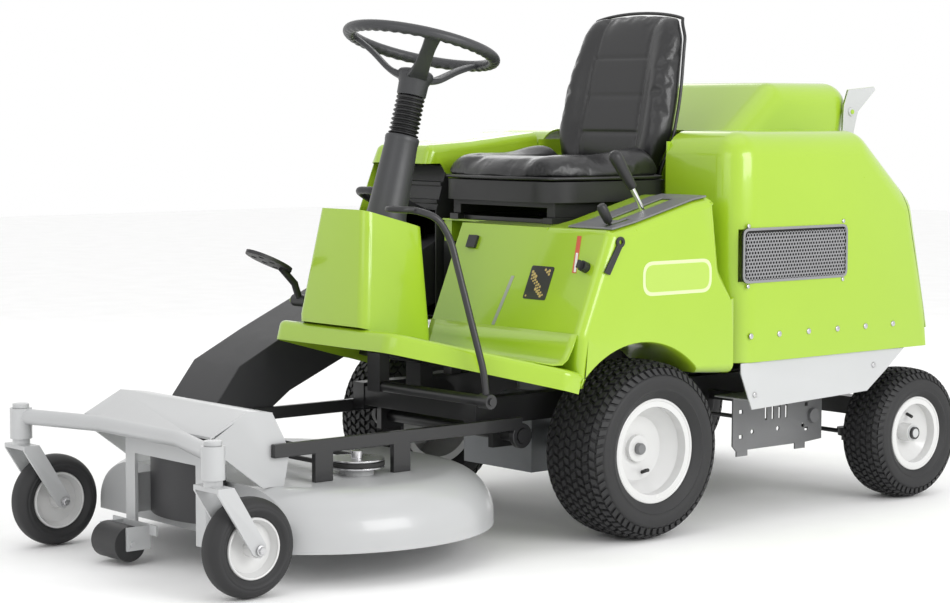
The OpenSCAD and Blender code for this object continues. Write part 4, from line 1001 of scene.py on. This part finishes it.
def rounded_rect(u0, u1, v0, v1, r, n=8):
    return fillet([(u0, v0), (u1, v0), (u1, v1), (u0, v1)], [r] * 4, n)


def make_grille():
    y0, y1, z0, z1, pitch = 275, 630, 562, 682, 9.5
    for side, n in ((1, "left"), (-1, "right")):
        X = side * 451.2
        verts, faces = [], []
        row = pitch * math.sqrt(3) / 2
        R, hole = pitch / math.sqrt(3), pitch * 0.36
        k = int((z1 - z0) / row) + 1
        for j in range(k + 1):
            for i in range(int((y1 - y0) / pitch) + 2):
                cy, cz = y0 + i * pitch + (j % 2) * pitch / 2, z0 + j * row
                if not (y0 + 5 < cy < y1 - 5 and z0 + 5 < cz < z1 - 5):
                    continue
                n0 = len(verts)
                for rr, xx in ((R, X), (hole, X), (hole, X - side * 1.6)):
                    for a in range(6):
                        t = math.radians(30 + 60 * a)
                        verts.append(at(xx, cy + rr * math.cos(t), cz + rr * math.sin(t)))
                for a in range(6):
                    b = (a + 1) % 6
                    faces.append((n0 + a, n0 + b, n0 + 6 + b, n0 + 6 + a))
                    faces.append((n0 + 6 + a, n0 + 6 + b, n0 + 12 + b, n0 + 12 + a))
        outer = rounded_rect(y0 - 3, y1 + 3, z0 - 3, z1 + 3, 20)
        inner = rounded_rect(y0 + 3, y1 - 3, z0 + 3, z1 - 3, 14)
        n0, m = len(verts), len(outer)
        for ring, xx in ((outer, X - side * 1.5), (outer, X + side * 0.6), (inner, X + side * 0.6),
                         (inner, X - side * 1)):
            verts += [at(xx, p.x, p.y) for p in ring]
        for j in range(3):
            faces += [(n0 + j * m + a, n0 + j * m + (a + 1) % m, n0 + (j + 1) * m + (a + 1) % m,
                       n0 + (j + 1) * m + a) for a in range(m)]
        piece("grille_mesh_" + n, verts, faces, MATS["grille_mesh"], "chassis",
              ("side_grilles",) if side > 0 else (), 25)
        # painted shade: a flat near-black sheet behind each grille stands in for the shade inside
        # the hood
        back = rounded_rect(y0 - 3, y1 + 3, z0 - 3, z1 + 3, 20)
        piece("grille_shade_" + n, [at(side * 446.5, p.x, p.y) for p in back],
              [tuple(range(len(back)))], painted_shade_inside, "chassis")


def decal(name, outline, place, mat, thick=0.6):
    pts = [Vector(p) for p in outline]
    verts = [at(*place(p.x, p.y, 0)) for p in pts] + [at(*place(p.x, p.y, thick)) for p in pts]
    m = len(pts)
    faces = [tuple(range(m, 2 * m))] + [(i, (i + 1) % m, m + (i + 1) % m, m + i) for i in range(m)]
    return piece(name, verts, faces, mat, "chassis")


def panel(u, v, w):
    """u across, v up the sloping front panel, w out of it."""
    a = math.atan2(222, 92)
    d = Vector((0, math.cos(a), math.sin(a)))
    n = Vector((0, -math.sin(a), math.cos(a)))
    q = Vector((u, -232, 470)) + d * v + n * w
    return tuple(q)


def panel_normal():
    return Vector(panel(0, 0, 1)) - Vector(panel(0, 0, 0))


def make_details():
    steel = MATS["bare_steel"]
    parts = []
    for i, y in enumerate((302, 398, 500, 602, 704, 806)):
        parts.append(dome((450, y, 437), (1, 0, 0), 7, 3.5))
    for y, z in ((290, 552), (618, 554), (290, 690), (618, 692)):
        parts.append(dome((450, y, z), (1, 0, 0), 5, 3))
    v, f = join(*parts)
    piece("body_bolts_left", v, f, steel, "chassis")
    v, f = join(*[([Vector((-p.x, p.y, p.z)) for p in a], b) for a, b in parts])
    piece("body_bolts_right", v, f, steel, "chassis")
    parts = [dome((445.6, 322, 300), (1, 0, 0), 7, 3.5), dome((445.6, 742, 340), (1, 0, 0), 7, 3.5)]
    v, f = join(*parts)
    piece("skirt_bolts_left", v, f, steel, "chassis")
    # blank decals
    decal("decal_side", rounded_rect(-46, 170, 546, 622, 30), lambda u, v, w: (450 + w, u, v),
          decal_white)
    decal("decal_side_inner", rounded_rect(-38, 162, 554, 614, 24),
          lambda u, v, w: (450.5 + w, u, v), decal_pale)
    decal("decal_dark", rounded_rect(232, 306, 72, 150, 6), panel, decal_dark, 0.8)
    parts = []
    for k in range(26):
        u, v = 240 + (k * 37 % 59), 79 + (k * 23 % 64)
        parts.append(dome(panel(u, v, 0.8), panel_normal(), 2.6 + k % 3 * 0.7, 0.5, 10))
    v, f = join(*parts)
    piece("decal_specks", v, f, decal_gold, "chassis")
    decal("decal_slot", [(157, 5), (167, 5), (184, 122), (174, 122)], panel, decal_silver,
          0.8)
    # red and white strip below the throttle
    decal("decal_strip", [(365, 140), (378, 140), (360, 225), (347, 225)], panel, decal_red,
          0.8)
    decal("decal_strip_pale", [(370, 142), (377, 142), (366, 186), (359, 186)], panel, decal_plain,
          1.1)
    # grey hinge cheeks of the rear door, and their pivots
    cheek = [(862, 770), (846, 810), (842, 900), (846, 965), (862, 1004), (960, 1012), (965, 1004),
             (900, 950), (885, 900), (892, 762)]
    for side, n in ((1, "left"), (-1, "right")):
        m = len(cheek)
        verts = [at(side * x, y, z) for x in (245.4, 251.6) for y, z in cheek]
        faces = [tuple(range(m)), tuple(range(m, 2 * m))] + \
            [(i, (i + 1) % m, m + (i + 1) % m, m + i) for i in range(m)]
        ob = piece("door_cheek_" + n, verts, faces, MATS["light_grey"], "rear_door_body")
        mod = ob.modifiers.new("edge", "BEVEL")
        mod.width, mod.segments = 0.0012, 2
        v, f = dome((side * 251.6, 872, 949), (side, 0, 0), 11, 5)
        piece("door_pivot_" + n, v, f, MATS["light_grey"], "rear_door_body")
    # foot of the sloping panel, flared into the platform
    rows = ((-232, 473, 440), (-245, 441, 438), (-254, 420, 434), (-266, 409.5, 430),
            (-284, 409, 420), (-312, 415.5, 398))
    verts, n = [], 24
    for y, z, x1 in rows:
        verts += [at(-50 + (x1 + 50) * i / n, y, z) for i in range(n + 1)]
    faces = [(j * (n + 1) + i, j * (n + 1) + i + 1, (j + 1) * (n + 1) + i + 1,
              (j + 1) * (n + 1) + i)
             for j in range(len(rows) - 1) for i in range(n)]
    foot = piece("panel_foot", verts, faces, MATS["body_green"], "chassis", (), 60)
    mod = foot.modifiers.new("wall", "SOLIDIFY")
    mod.thickness = 0.003
    mod.offset = 0


make_wheels()
make_steering()
make_seat()
make_body()
make_controls()
make_grille()
make_details()
